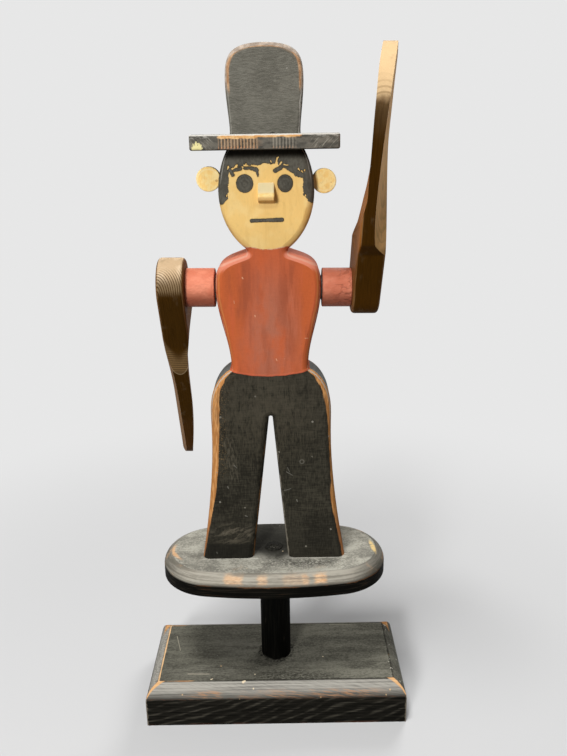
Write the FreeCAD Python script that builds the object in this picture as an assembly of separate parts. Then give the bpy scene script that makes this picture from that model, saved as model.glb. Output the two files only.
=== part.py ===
import FreeCAD
import Part
import math
import os

# Wooden whirligig man: a cut-out figure on an oval platform that turns on a post,
# with two carved paddles that turn together on one axle through the shoulders.
# Millimetres.  +X is the figure's left, -Y its front, +Z up.
# The origin is the middle of the base's underside.

# ---- fits ----
glue_gap = 0.05             # radial gap of a glued or threaded piece in its hole
running_gap = 0.10          # radial gap of the turning axle in the shoulder bore
washer_lift = 0.20          # play under the pivot washer

# ---- base and post ----
base_length = 229.0
base_width = 102.0
base_thickness = 38.0
base_roundover = 14.0
base_planing = 0.4          # planed off the top after the edges were rounded: a fine arris
post_diameter = 27.0
post_exposed = 89.0
post_socket_depth = 20.0

# ---- oval platform ----
platform_length = 196.0
platform_width = 101.6
platform_thickness = 20.0
platform_end_radius = 46.5
platform_roundover = 11.0
platform_planing = 0.3

# ---- cut-out figure: half widths, and each point's rise above the one below it ----
board_thickness = 38.0
board_roundover = 7.0
board_planing = 0.25        # planed off each face after the outline was rounded
foot_half_width = 61.7
shin_half_width = 55.5
shin_rise = 40.0
knee_half_width = 51.8
knee_rise = 32.0
thigh_half_width = 49.6
thigh_rise = 50.0
hip_half_width = 48.0
hip_rise = 25.5
hip_corner_half_width = 42.3
hip_corner_rise = 12.7
waist_half_width = 31.2
waist_rise = 9.8
belly_half_width = 36.3
belly_rise = 33.5
chest_half_width = 41.4
chest_rise = 36.5
shoulder_corner_half_width = 38.0
shoulder_corner_rise = 13.2
shoulder_slope_half_width = 23.0
shoulder_slope_rise = 8.7
neck_half_width = 14.2
neck_rise = 3.1
jaw_half_width = 30.4
jaw_rise = 18.6
head_half_width = 36.4
cheek_rise = 23.9
temple_half_width = 34.5
temple_rise = 18.0
head_top_half_width = 29.2
head_top_rise = 14.2
notch_radius = 1.5          # inside corners at the neck, the waist and the crotch
leg_gap_below_waist = 27.5  # where the V's two sides would meet
leg_gap_half_width = 14.7   # at the feet
leg_gap_foot_shift = -2.4

# ---- nose and ears ----
nose_width = 12.2
nose_height = 15.2
nose_projection = 9.0
nose_tip_drop = 9.2         # from the nose's top to the tip's upper edge
nose_tip_height = 3.4
nose_below_head_top = 23.5
nose_edge_round = 0.8
ear_diameter = 18.6
ear_thickness = 9.5
ear_left_below_head_top = 23.4
ear_right_below_head_top = 20.9
ear_inset = 1.4             # how far the ear's edge reaches inside the head's full width
ear_round = 0.8
ear_pin_diameter = 3.0
ear_pin_in_ear = 7.0
ear_pin_in_head = 9.0

# ---- hat ----
brim_length = 108.0
brim_depth = 76.0
brim_thickness = 11.0
brim_corner_radius = 2.0
brim_edge_round = 1.6
crown_foot_half_width = 26.6
crown_half_width = 28.9
crown_widest_rise = 41.0    # above the brim, and then each point above the last
crown_corner_half_width = 25.2
crown_corner_rise = 15.0
crown_top_rise = 7.8
crown_thickness = 19.0
crown_roundover = 3.6

# ---- arms ----
axle_below_chest = 6.0      # under the chest's widest level
axle_diameter = 9.5
axle_slant = 0.7            # degrees: the shoulder bore was drilled a little off level
arm_tilt = 29.5             # degrees that the raised arm leans forward at rest
sleeve_diameter = 31.0
sleeve_length = 23.3
sleeve_edge_round = 0.8
shoulder_gap = 1.2          # between the chest and the sleeve
shoulder_washer_diameter = 20.0
shoulder_washer_thickness = 0.8
paddle_thickness = 21.5
hub_half_width = 22.0
neck_end = 48.4             # along the arm, where the outline starts to flare
blade_start = 63.7          # where it has reached the blade's width
blade_half_width = 31.4
flare_round = 6.0
arm_length = 192.6          # axle to tip
paddle_edge_round = 3.0

# ---- carving of the two paddles ----
# Both are cut from one board pattern and carved freehand, so their cuts differ a little.
# Depths are measured outward from the paddle's inner face, and places from the axle.
carving_start = 36.0        # the board is uncut up to here
hollow_depth = 12.8         # the inner side's cut at the blade's back edge
hollow_settling = 28.0      # how slowly that cut deepens along the arm
thinning_start = 95.0       # where the blade starts to thin towards its tip
raised_carving = {
    "hub_reach": 20.6,      # from the axle to the hub's round end
    "front_step": 2.6,      # the inner side's cut at the front edge
    "front_step_start": 82.0,
    "front_step_end": 100.0,
    "front_tip_cut": -0.8,  # what the thinning adds to it at the tip
    "bevel_depth": 8.9,     # where the outer bevel leaves the front edge
    "bevel_settling": 16.0,
    "bevel_tip_rise": 2.4,  # how much further out it lies at the tip
    "ridge_root": 22.0,     # the bevel's inner line, measured forward of the middle
    "ridge_tip": -27.0,
    "ridge_settled": 122.0,
    "outer_shave": 0.0,     # taken off the whole outer side
}
lowered_carving = {
    "hub_reach": 24.4,
    "front_step": 2.1,
    "front_step_start": 44.0,
    "front_step_end": 58.0,
    "front_tip_cut": 7.4,
    "bevel_depth": 13.2,
    "bevel_settling": 18.0,
    "bevel_tip_rise": -0.4,
    "ridge_root": 22.0,
    "ridge_tip": 12.0,
    "ridge_settled": 110.0,
    "outer_shave": 1.6,
}

# ---- screws and nails ----
base_screw_diameter = 5.0
base_screw_length = 50.0
base_screw_head = 10.0
head_recess = 1.0           # a countersunk head sits this far inside the wood
pivot_screw_diameter = 4.8
pivot_screw_length = 58.0   # under the head
pivot_head_diameter = 8.4
pivot_head_height = 1.8
pivot_slot_width = 1.1
pivot_slot_depth = 0.7
pivot_washer_diameter = 15.0
pivot_washer_thickness = 0.9
pivot_hole_gap = 0.3        # radial, so that the platform turns round the shank
foot_screw_diameter = 4.2
foot_screw_length = 48.0
foot_screw_head = 8.4
crown_screw_diameter = 3.5
crown_screw_length = 30.0
crown_screw_head = 7.0
crown_screw_spread = 28.0
nail_diameter = 2.2
nail_length = 32.0
nail_head_diameter = 5.0
nail_head_height = 1.4
nail_side = 5.5
nail_setback = 14.5         # in front of and behind the hat's middle

# ---- levels worked out from the sizes above ----
platform_bottom = base_thickness + post_exposed
platform_top = platform_bottom + platform_thickness
shin_z = platform_top + shin_rise
knee_z = shin_z + knee_rise
thigh_z = knee_z + thigh_rise
hip_z = thigh_z + hip_rise
hip_corner_z = hip_z + hip_corner_rise
waist_z = hip_corner_z + waist_rise
leg_gap_z = waist_z - leg_gap_below_waist
belly_z = waist_z + belly_rise
chest_z = belly_z + chest_rise
shoulder_corner_z = chest_z + shoulder_corner_rise
shoulder_slope_z = shoulder_corner_z + shoulder_slope_rise
neck_z = shoulder_slope_z + neck_rise
jaw_z = neck_z + jaw_rise
cheek_z = jaw_z + cheek_rise
temple_z = cheek_z + temple_rise
head_top_z = temple_z + head_top_rise
brim_top_z = head_top_z + brim_thickness
crown_widest_z = brim_top_z + crown_widest_rise
crown_corner_z = crown_widest_z + crown_corner_rise
crown_top_z = crown_corner_z + crown_top_rise
axle_z = chest_z - axle_below_chest
sleeve_start = chest_half_width + shoulder_gap
paddle_face = sleeve_start + sleeve_length
arm_end = paddle_face + paddle_thickness
foot_screw_x = (foot_half_width + leg_gap_half_width) / 2.0


def vec(x, y, z):
    return FreeCAD.Vector(x, y, z)


def line(a, b):
    return Part.LineSegment(a, b).toShape()


def arc(a, middle, b):
    return Part.Arc(a, middle, b).toShape()


def curve(points):
    spline = Part.BSplineCurve()
    spline.interpolate(points)
    return spline.toShape()


def prism(edges, direction):
    wire = Part.Wire(Part.__sortEdges__(edges))
    return Part.Face(wire).extrude(direction)


def cylinder(radius, length, base, axis):
    return Part.makeCylinder(radius, length, base, axis)


def revolved(profile, base, axis):
    """Turn a profile of (radius, distance) points about the axis that starts at base."""
    points = [vec(radius, 0, along) for radius, along in profile]
    points.append(points[0])
    solid = Part.Face(Part.makePolygon(points)).revolve(vec(0, 0, 0), vec(0, 0, 1), 360)
    turn = FreeCAD.Rotation(vec(0, 0, 1), axis)
    solid.Placement = FreeCAD.Placement(base, turn)
    return solid


def middle_of(edge):
    return edge.valueAt((edge.FirstParameter + edge.LastParameter) / 2.0)


def outline_edges(board, half_thickness, flat_levels):
    """A cut-out board's front and back outline, without its flat stretches at some levels."""
    found = []
    for edge in board.Edges:
        points = [vertex.Point for vertex in edge.Vertexes] + [middle_of(edge)]
        in_a_face = all(abs(abs(point.y) - half_thickness) < 1e-4 for point in points)
        flat = any(all(abs(point.z - level) < 1e-4 for point in points)
                   for level in flat_levels)
        if in_a_face and not flat:
            found.append(edge)
    return found


# ---- fasteners ----
def countersunk_screw(diameter, length, head_diameter, base, axis):
    """A flat-head wood screw whose head face is at base and whose point is along axis."""
    radius = diameter / 2.0
    head_depth = (head_diameter - diameter) / 2.0
    profile = [(0, 0), (head_diameter / 2.0, 0), (head_diameter / 2.0, 0.4),
               (radius, head_depth + 0.4), (radius, length - 2.0 * diameter),
               (0.2 * radius, length), (0, length)]
    return revolved(profile, base, axis)


def countersunk_hole(diameter, length, head_diameter, gap, recess, base, axis):
    """The hole for that screw, open at the wood's face, with the head recessed in it."""
    radius = diameter / 2.0 + gap
    head_radius = head_diameter / 2.0 + gap
    head_depth = (head_diameter - diameter) / 2.0
    profile = [(0, -recess - 1.0), (head_radius, -recess - 1.0), (head_radius, 0.4),
               (radius, head_depth + 0.4), (radius, length + gap), (0, length + gap)]
    return revolved(profile, base, axis)


def base_screw_place():
    return vec(0, 0, head_recess), vec(0, 0, 1)


def make_base_screw():
    base, axis = base_screw_place()
    return countersunk_screw(base_screw_diameter, base_screw_length, base_screw_head, base, axis)


def base_screw_hole():
    base, axis = base_screw_place()
    return countersunk_hole(base_screw_diameter, base_screw_length, base_screw_head,
                            glue_gap, head_recess, base, axis)


def foot_screw_places():
    height = platform_bottom + head_recess
    return [(vec(side * foot_screw_x, 0, height), vec(0, 0, 1)) for side in (-1, 1)]


def make_foot_screws():
    screws = [countersunk_screw(foot_screw_diameter, foot_screw_length, foot_screw_head, base, axis)
              for base, axis in foot_screw_places()]
    return Part.makeCompound(screws)


def foot_screw_holes():
    holes = [countersunk_hole(foot_screw_diameter, foot_screw_length, foot_screw_head,
                              glue_gap, head_recess, base, axis)
             for base, axis in foot_screw_places()]
    return Part.makeCompound(holes)


def crown_screw_places():
    height = head_top_z + head_recess
    return [(vec(side * crown_screw_spread / 2.0, 0, height), vec(0, 0, 1)) for side in (-1, 1)]


def make_crown_screws():
    screws = [countersunk_screw(crown_screw_diameter, crown_screw_length, crown_screw_head,
                                base, axis)
              for base, axis in crown_screw_places()]
    return Part.makeCompound(screws)


def crown_screw_holes():
    holes = [countersunk_hole(crown_screw_diameter, crown_screw_length, crown_screw_head,
                              glue_gap, head_recess, base, axis)
             for base, axis in crown_screw_places()]
    return Part.makeCompound(holes)


def nail_places():
    return [vec(side * nail_side, -side * nail_setback, brim_top_z) for side in (-1, 1)]


def make_brim_nails():
    """Two nails down through the brim into the head, in front of and behind the crown."""
    nails = []
    for place in nail_places():
        dome = [(0, nail_head_height), (0.3 * nail_head_diameter, 0.8 * nail_head_height),
                (nail_head_diameter / 2.0, 0), (nail_diameter / 2.0, 0),
                (nail_diameter / 2.0, -nail_length + 3.0), (0, -nail_length)]
        nails.append(revolved(dome, place, vec(0, 0, 1)))
    return Part.makeCompound(nails)


def nail_holes():
    holes = [cylinder(nail_diameter / 2.0 + glue_gap, nail_length + 2.0,
                      place + vec(0, 0, -nail_length - 0.5), vec(0, 0, 1))
             for place in nail_places()]
    return Part.makeCompound(holes)


def pivot_seat_z():
    return platform_top + washer_lift + pivot_washer_thickness


def make_pivot_screw():
    """The round-headed screw through the platform into the post's top end."""
    radius = pivot_screw_diameter / 2.0
    head_radius = pivot_head_diameter / 2.0
    profile = [(0, pivot_head_height), (0.45 * head_radius, 0.93 * pivot_head_height),
               (0.85 * head_radius, 0.6 * pivot_head_height), (head_radius, 0),
               (radius, 0), (radius, -pivot_screw_length + 2.0 * pivot_screw_diameter),
               (0.2 * radius, -pivot_screw_length), (0, -pivot_screw_length)]
    screw = revolved(profile, vec(0, 0, pivot_seat_z()), vec(0, 0, 1))
    slot = Part.makeBox(pivot_head_diameter, pivot_slot_width, pivot_slot_depth)
    slot.translate(vec(-head_radius, -pivot_slot_width / 2.0,
                       pivot_seat_z() + pivot_head_height - pivot_slot_depth))
    return screw.cut(slot)


def make_pivot_washer():
    base = vec(0, 0, platform_top + washer_lift)
    disc = cylinder(pivot_washer_diameter / 2.0, pivot_washer_thickness, base, vec(0, 0, 1))
    hole = cylinder(pivot_screw_diameter / 2.0 + glue_gap, pivot_washer_thickness, base,
                    vec(0, 0, 1))
    return disc.cut(hole)


def pivot_pilot_hole():
    radius = pivot_screw_diameter / 2.0 + glue_gap
    bottom = pivot_seat_z() - pivot_screw_length - glue_gap
    return cylinder(radius, platform_bottom - bottom + 1.0, vec(0, 0, bottom), vec(0, 0, 1))


# ---- stand ----
def planed_top(board, roundover, level):
    """Round a thick blank's top edges, then plane its top down to a level."""
    blank_top = board.BoundBox.ZMax
    top_edges = [edge for edge in board.Edges
                 if all(vertex.Point.z > blank_top - 1e-4 for vertex in edge.Vertexes)]
    board = board.makeFillet(roundover, top_edges)
    box = board.BoundBox
    shaving = Part.makeBox(box.XLength + 2.0, box.YLength + 2.0, blank_top - level + 1.0,
                           vec(box.XMin - 1.0, box.YMin - 1.0, level))
    return board.cut(shaving)


def make_base_board():
    blank = Part.makeBox(base_length, base_width, base_thickness + base_planing,
                         vec(-base_length / 2.0, -base_width / 2.0, 0))
    board = planed_top(blank, base_roundover, base_thickness)
    socket = cylinder(post_diameter / 2.0 + glue_gap, post_socket_depth + 1.0,
                      vec(0, 0, base_thickness - post_socket_depth), vec(0, 0, 1))
    return board.cut(socket).cut(base_screw_hole())


def make_post():
    bottom = base_thickness - post_socket_depth
    post = cylinder(post_diameter / 2.0, platform_bottom - bottom, vec(0, 0, bottom), vec(0, 0, 1))
    return post.cut(base_screw_hole()).cut(pivot_pilot_hole())


# ---- platform ----
def oval_edges(length, width, end_radius, z):
    """An oval of four arcs that meet smoothly: two round ends and two long sides."""
    half_length = length / 2.0
    half_width = width / 2.0
    centre_x = half_length - end_radius
    side_radius = ((centre_x ** 2 + half_width ** 2 - end_radius ** 2)
                   / (2.0 * (half_width - end_radius)))
    centre_y = side_radius - half_width
    reach = side_radius / (side_radius - end_radius)
    join_x = centre_x * reach
    join_y = centre_y * reach - centre_y
    edges = []
    for side in (-1, 1):
        edges.append(arc(vec(-join_x, side * join_y, z), vec(0, side * half_width, z),
                         vec(join_x, side * join_y, z)))
        edges.append(arc(vec(side * join_x, -join_y, z), vec(side * half_length, 0, z),
                         vec(side * join_x, join_y, z)))
    return edges


def make_platform():
    edges = oval_edges(platform_length, platform_width, platform_end_radius, platform_bottom)
    blank = prism(edges, vec(0, 0, platform_thickness + platform_planing))
    platform = planed_top(blank, platform_roundover, platform_top)
    pivot_hole = cylinder(pivot_screw_diameter / 2.0 + pivot_hole_gap, platform_thickness + 2.0,
                          vec(0, 0, platform_bottom - 1.0), vec(0, 0, 1))
    return platform.cut(pivot_hole).cut(foot_screw_holes())


# ---- figure ----
def on_board(side, half_width, z):
    """A point of the outline on the unplaned board's back face."""
    return vec(side * half_width, board_thickness / 2.0 + board_planing, z)


def head_side(side):
    return curve([on_board(side, head_top_half_width, head_top_z),
                  on_board(side, temple_half_width, temple_z),
                  on_board(side, head_half_width, cheek_z),
                  on_board(side, jaw_half_width, jaw_z),
                  on_board(side, neck_half_width, neck_z)])


def torso_side(side):
    return curve([on_board(side, neck_half_width, neck_z),
                  on_board(side, shoulder_slope_half_width, shoulder_slope_z),
                  on_board(side, shoulder_corner_half_width, shoulder_corner_z),
                  on_board(side, chest_half_width, chest_z),
                  on_board(side, belly_half_width, belly_z),
                  on_board(side, waist_half_width, waist_z)])


def leg_side(side):
    return curve([on_board(side, waist_half_width, waist_z),
                  on_board(side, hip_corner_half_width, hip_corner_z),
                  on_board(side, hip_half_width, hip_z),
                  on_board(side, thigh_half_width, thigh_z),
                  on_board(side, knee_half_width, knee_z),
                  on_board(side, shin_half_width, shin_z),
                  on_board(side, foot_half_width, platform_top)])


def figure_edges():
    """The whole outline, with sharp inside corners at the neck, waist and crotch."""
    crotch = on_board(1, 0, leg_gap_z)
    edges = [line(on_board(-1, head_top_half_width, head_top_z),
                  on_board(1, head_top_half_width, head_top_z))]
    for side in (-1, 1):
        inner_foot = on_board(1, leg_gap_foot_shift + side * leg_gap_half_width, platform_top)
        edges += [head_side(side), torso_side(side), leg_side(side),
                  line(on_board(side, foot_half_width, platform_top), inner_foot),
                  line(inner_foot, crotch)]
    return edges


def inside_corners(board):
    """The edges along Y at the neck, the waist and the crotch."""
    levels = (neck_z, waist_z, leg_gap_z)
    return [edge for edge in board.Edges
            if abs(edge.Vertexes[0].Point.y - edge.Vertexes[-1].Point.y) > 1.0
            and any(abs(edge.Vertexes[0].Point.z - level) < 1e-4 for level in levels)]


def planed_faces(board):
    """Plane both faces of the figure's board, which leaves a fine arris at its roundover."""
    box = board.BoundBox
    kept = Part.makeBox(box.XLength + 2.0, board_thickness, box.ZLength + 2.0,
                        vec(box.XMin - 1.0, -board_thickness / 2.0, box.ZMin - 1.0))
    return board.common(kept)


def make_figure_body():
    rough_thickness = board_thickness + 2.0 * board_planing
    board = prism(figure_edges(), vec(0, -rough_thickness, 0))
    board = board.makeFillet(notch_radius, inside_corners(board))
    board = board.makeFillet(board_roundover, outline_edges(board, rough_thickness / 2.0,
                                                            (platform_top, head_top_z)))
    board = planed_faces(board)
    shoulder_bore = slanted(cylinder(axle_diameter / 2.0 + running_gap, 2.0 * arm_end,
                                     vec(-arm_end, 0, axle_z), vec(1, 0, 0)))
    board = board.cut(shoulder_bore).cut(foot_screw_holes()).cut(nail_holes())
    return board.cut(ear_pin_holes())


def make_nose():
    """A small wedge: a sloping bridge, a short upright tip and an undercut."""
    face = -board_thickness / 2.0
    tip = face - nose_projection
    top = head_top_z - nose_below_head_top
    tip_top = top - nose_tip_drop
    tip_bottom = tip_top - nose_tip_height
    left = -nose_width / 2.0
    corners = [vec(left, face, top), vec(left, tip, tip_top), vec(left, tip, tip_bottom),
               vec(left, face, top - nose_height)]
    corners.append(corners[0])
    nose = Part.Face(Part.makePolygon(corners)).extrude(vec(nose_width, 0, 0))
    free_edges = [edge for edge in nose.Edges
                  if min(vertex.Point.y for vertex in edge.Vertexes) < face - 1e-4]
    return nose.makeFillet(nose_edge_round, free_edges)


def ear_centre(side):
    offset = head_half_width - ear_inset + ear_diameter / 2.0
    drop = ear_left_below_head_top if side > 0 else ear_right_below_head_top
    return vec(side * offset, 0, head_top_z - drop)


def ear_pin(side, gap):
    """A dowel pin from the head's side into the ear's edge."""
    length = ear_pin_in_head + ear_pin_in_ear + 2.0 * gap
    reach = ear_diameter / 2.0 - ear_pin_in_ear - gap
    start = ear_centre(side) - vec(side * reach, 0, 0)
    return cylinder(ear_pin_diameter / 2.0 + gap, length, start, vec(-side, 0, 0))


def ear_pin_holes():
    return Part.makeCompound([ear_pin(-1, glue_gap), ear_pin(1, glue_gap)])


def make_ear(side, figure_body):
    disc = cylinder(ear_diameter / 2.0, ear_thickness,
                    ear_centre(side) - vec(0, ear_thickness / 2.0, 0), vec(0, 1, 0))
    rims = [edge for edge in disc.Edges if len(edge.Vertexes) == 1]
    disc = disc.makeFillet(ear_round, rims)
    return disc.cut(figure_body).cut(ear_pin(side, glue_gap))


def make_ear_pins():
    return Part.makeCompound([ear_pin(-1, 0), ear_pin(1, 0)])


# ---- hat ----
def make_hat_brim():
    brim = Part.makeBox(brim_length, brim_depth, brim_thickness,
                        vec(-brim_length / 2.0, -brim_depth / 2.0, head_top_z))
    uprights = [edge for edge in brim.Edges
                if abs(edge.Vertexes[0].Point.z - edge.Vertexes[1].Point.z) > 1.0]
    brim = brim.makeFillet(brim_corner_radius, uprights)
    rims = [edge for edge in brim.Edges
            if abs(edge.Vertexes[0].Point.z - edge.Vertexes[-1].Point.z) < 1e-4]
    brim = brim.makeFillet(brim_edge_round, rims)
    return brim.cut(crown_screw_holes()).cut(nail_holes())


def on_crown(side, half_width, z):
    """A point of the crown's outline on its back face."""
    return vec(side * half_width, crown_thickness / 2.0, z)


def make_hat_crown():
    """The tall hat board: sides that spread a little, round corners and an arched top."""
    foot_left = on_crown(-1, crown_foot_half_width, brim_top_z)
    foot_right = on_crown(1, crown_foot_half_width, brim_top_z)
    outline = [foot_left,
               on_crown(-1, crown_half_width, crown_widest_z),
               on_crown(-1, crown_corner_half_width, crown_corner_z),
               on_crown(1, 0, crown_top_z),
               on_crown(1, crown_corner_half_width, crown_corner_z),
               on_crown(1, crown_half_width, crown_widest_z),
               foot_right]
    board = prism([curve(outline), line(foot_left, foot_right)], vec(0, -crown_thickness, 0))
    board = board.makeFillet(crown_roundover, outline_edges(board, crown_thickness / 2.0,
                                                            (brim_top_z,)))
    return board.cut(crown_screw_holes())


# ---- arms ----
def make_arm_axle():
    return cylinder(axle_diameter / 2.0, 2.0 * arm_end, vec(-arm_end, 0, axle_z), vec(1, 0, 0))


def axle_hole():
    return cylinder(axle_diameter / 2.0 + glue_gap, 2.0 * arm_end + 2.0,
                    vec(-arm_end - 1.0, 0, axle_z), vec(1, 0, 0))


def make_sleeve(side):
    sleeve = cylinder(sleeve_diameter / 2.0, sleeve_length, vec(side * sleeve_start, 0, axle_z),
                      vec(side, 0, 0))
    rims = [edge for edge in sleeve.Edges if len(edge.Vertexes) == 1]
    return sleeve.makeFillet(sleeve_edge_round, rims).cut(axle_hole())


def make_shoulder_washers():
    washers = []
    for side in (-1, 1):
        start = vec(side * (sleeve_start - shoulder_washer_thickness), 0, axle_z)
        washers.append(cylinder(shoulder_washer_diameter / 2.0, shoulder_washer_thickness, start,
                                vec(side, 0, 0)).cut(axle_hole()))
    return Part.makeCompound(washers)


def paddle_point(across, along):
    """A point of the paddle's outline on its inner face, with the arm pointing up."""
    return vec(0, -across, along)


def paddle_outline(hub_reach):
    """A round hub, a straight neck, a flare and a broad blade with a full round tip."""
    hub_centre = hub_half_width - hub_reach
    tip_centre = arm_length - blade_half_width
    edges = [arc(paddle_point(hub_half_width, hub_centre), paddle_point(0, -hub_reach),
                 paddle_point(-hub_half_width, hub_centre)),
             arc(paddle_point(blade_half_width, tip_centre), paddle_point(0, arm_length),
                 paddle_point(-blade_half_width, tip_centre))]
    for side in (-1, 1):
        hub = side * hub_half_width
        blade = side * blade_half_width
        edges += [line(paddle_point(hub, hub_centre), paddle_point(hub, neck_end)),
                  line(paddle_point(hub, neck_end), paddle_point(blade, blade_start)),
                  line(paddle_point(blade, blade_start), paddle_point(blade, tip_centre))]
    return edges


def flare_corners(board):
    """The four upright edges of the flare, at the neck's end and the blade's start."""
    return [edge for edge in board.Edges
            if abs(edge.Vertexes[0].Point.x - edge.Vertexes[-1].Point.x) > 1.0
            and (abs(edge.Vertexes[0].Point.z - neck_end) < 1e-4
                 or abs(edge.Vertexes[0].Point.z - blade_start) < 1e-4)]


def settled(along, start, settling):
    """0 where a cut starts, easing towards 1 further along the arm."""
    return 1.0 - math.exp(-max(along - start, 0.0) / settling)


def eased(along, start, end):
    """0 before start and 1 after end, with a smooth step between them."""
    share = min(max((along - start) / (end - start), 0.0), 1.0)
    return share * share * (3.0 - 2.0 * share)


def blade_section(along, carving):
    """The carved blade's section at one station: a slab that slants across the board."""
    thinning = (max(along - thinning_start, 0.0) / (arm_length - thinning_start)) ** 1.5
    bevel = settled(along, carving_start, carving["bevel_settling"])
    ridge_ease = eased(along, carving_start, carving["ridge_settled"])
    outer = paddle_thickness - carving["outer_shave"] * bevel
    outer_front = (paddle_thickness + (carving["bevel_depth"] - paddle_thickness) * bevel
                   + carving["bevel_tip_rise"] * thinning)
    ridge = carving["ridge_root"] + (carving["ridge_tip"] - carving["ridge_root"]) * ridge_ease
    inner_front = (carving["front_step"] * eased(along, carving["front_step_start"],
                                                 carving["front_step_end"])
                   + carving["front_tip_cut"] * thinning)
    inner_back = hollow_depth * settled(along, carving_start, hollow_settling)
    spare = paddle_edge_round
    reach = blade_half_width + spare
    inner_slope = (inner_front - inner_back) / (2.0 * blade_half_width)
    outer_slope = (outer_front - outer) / (blade_half_width - ridge)
    corners = [vec(inner_front + inner_slope * spare, -reach, along),
               vec(outer_front + outer_slope * spare, -reach, along),
               vec(outer, -ridge, along),
               vec(outer, reach, along),
               vec(inner_back - inner_slope * spare, reach, along)]
    corners.append(corners[0])
    return Part.makePolygon(corners)


def carved_blade_envelope(carving):
    """What the carver leaves of the blade, lofted through stations that stand closer
    together near the root, where the surfaces turn fastest."""
    span = arm_length + paddle_edge_round - carving_start
    stations = [carving_start + span * (step / 12.0) ** 1.3 for step in range(13)]
    return Part.makeLoft([blade_section(along, carving) for along in stations], True, False)


def uncut_hub_envelope():
    reach = blade_half_width + paddle_edge_round
    bottom = -2.0 * hub_half_width
    return Part.makeBox(paddle_thickness, 2.0 * reach, carving_start - bottom,
                        vec(0, -reach, bottom))


def make_paddle(carving):
    """A carved paddle, pointing up from the axle, with its inner face at x = 0."""
    board = prism(paddle_outline(carving["hub_reach"]), vec(paddle_thickness, 0, 0))
    board = board.makeFillet(flare_round, flare_corners(board))
    rims = [edge for edge in board.Edges
            if abs(edge.Vertexes[0].Point.x - edge.Vertexes[-1].Point.x) < 1e-4]
    board = board.makeFillet(paddle_edge_round, rims)
    hub = board.common(uncut_hub_envelope())
    blade = board.common(carved_blade_envelope(carving))
    paddle = hub.fuse(blade).removeSplitter()
    bore = cylinder(axle_diameter / 2.0 + glue_gap, paddle_thickness + 2.0, vec(-1, 0, 0),
                    vec(1, 0, 0))
    return paddle.cut(bore)


def place_paddle(paddle, turn_over):
    """Set a paddle on the axle: tilted to its rest position, and for the lowered one
    turned over about the front-to-back line, so that both drive the same way."""
    centre = vec(0, 0, axle_z)
    paddle.translate(vec(paddle_face, 0, axle_z))
    paddle.rotate(centre, vec(0, 1, 0), 180 if turn_over else 0)
    paddle.rotate(centre, vec(1, 0, 0), arm_tilt)
    return slanted(paddle)


def slanted(shape):
    """Turn an arm piece, or the shoulder bore, to the axle's slant."""
    shape.rotate(vec(0, 0, axle_z), vec(0, 1, 0), axle_slant)
    return shape


def export(name, shape):
    shape.exportStep(os.path.join("parts", name + ".step"))


def main():
    os.makedirs("parts", exist_ok=True)
    figure_body = make_figure_body()
    pieces = {
        "base_board": make_base_board(),
        "post": make_post(),
        "base_screw": make_base_screw(),
        "pivot_screw": make_pivot_screw(),
        "pivot_washer": make_pivot_washer(),
        "platform": make_platform(),
        "figure_body": figure_body,
        "foot_screws": make_foot_screws(),
        "nose": make_nose(),
        "ear_left": make_ear(1, figure_body),
        "ear_right": make_ear(-1, figure_body),
        "ear_pins": make_ear_pins(),
        "hat_brim": make_hat_brim(),
        "hat_crown": make_hat_crown(),
        "crown_screws": make_crown_screws(),
        "brim_nails": make_brim_nails(),
        "arm_axle": slanted(make_arm_axle()),
        "sleeve_left": slanted(make_sleeve(1)),
        "sleeve_right": slanted(make_sleeve(-1)),
        "shoulder_washers": slanted(make_shoulder_washers()),
        "paddle_left": place_paddle(make_paddle(raised_carving), False),
        "paddle_right": place_paddle(make_paddle(lowered_carving), True),
    }
    for name, shape in pieces.items():
        export(name, shape)
        print(name, "solids", len(shape.Solids), "volume", round(shape.Volume, 1),
              "valid", shape.isValid())


main()
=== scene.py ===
from functools import reduce
import math

import bpy
from mathutils import Matrix, Vector

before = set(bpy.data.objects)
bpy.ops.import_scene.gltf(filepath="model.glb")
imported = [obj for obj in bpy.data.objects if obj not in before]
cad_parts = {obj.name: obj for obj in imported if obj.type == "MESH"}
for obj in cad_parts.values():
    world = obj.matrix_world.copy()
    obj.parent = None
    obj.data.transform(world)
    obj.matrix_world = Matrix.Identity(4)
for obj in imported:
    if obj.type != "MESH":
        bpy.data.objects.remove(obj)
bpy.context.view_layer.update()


# ---------------------------------------------------------------- node tree helpers

class Field:
    """A value in a material's node tree, with plain arithmetic."""

    def __init__(self, graph, socket):
        self.graph = graph
        self.socket = socket

    def __add__(self, other):
        return self.graph.math("ADD", self, other)

    __radd__ = __add__

    def __sub__(self, other):
        return self.graph.math("SUBTRACT", self, other)

    def __rsub__(self, other):
        return self.graph.math("SUBTRACT", other, self)

    def __mul__(self, other):
        return self.graph.math("MULTIPLY", self, other)

    __rmul__ = __mul__

    def __truediv__(self, other):
        return self.graph.math("DIVIDE", self, other)

    def __neg__(self):
        return self.graph.math("MULTIPLY", self, -1.0)

    def __abs__(self):
        return self.graph.math("ABSOLUTE", self)

    def inverted(self):
        return self.graph.math("SUBTRACT", 1.0, self)


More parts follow.
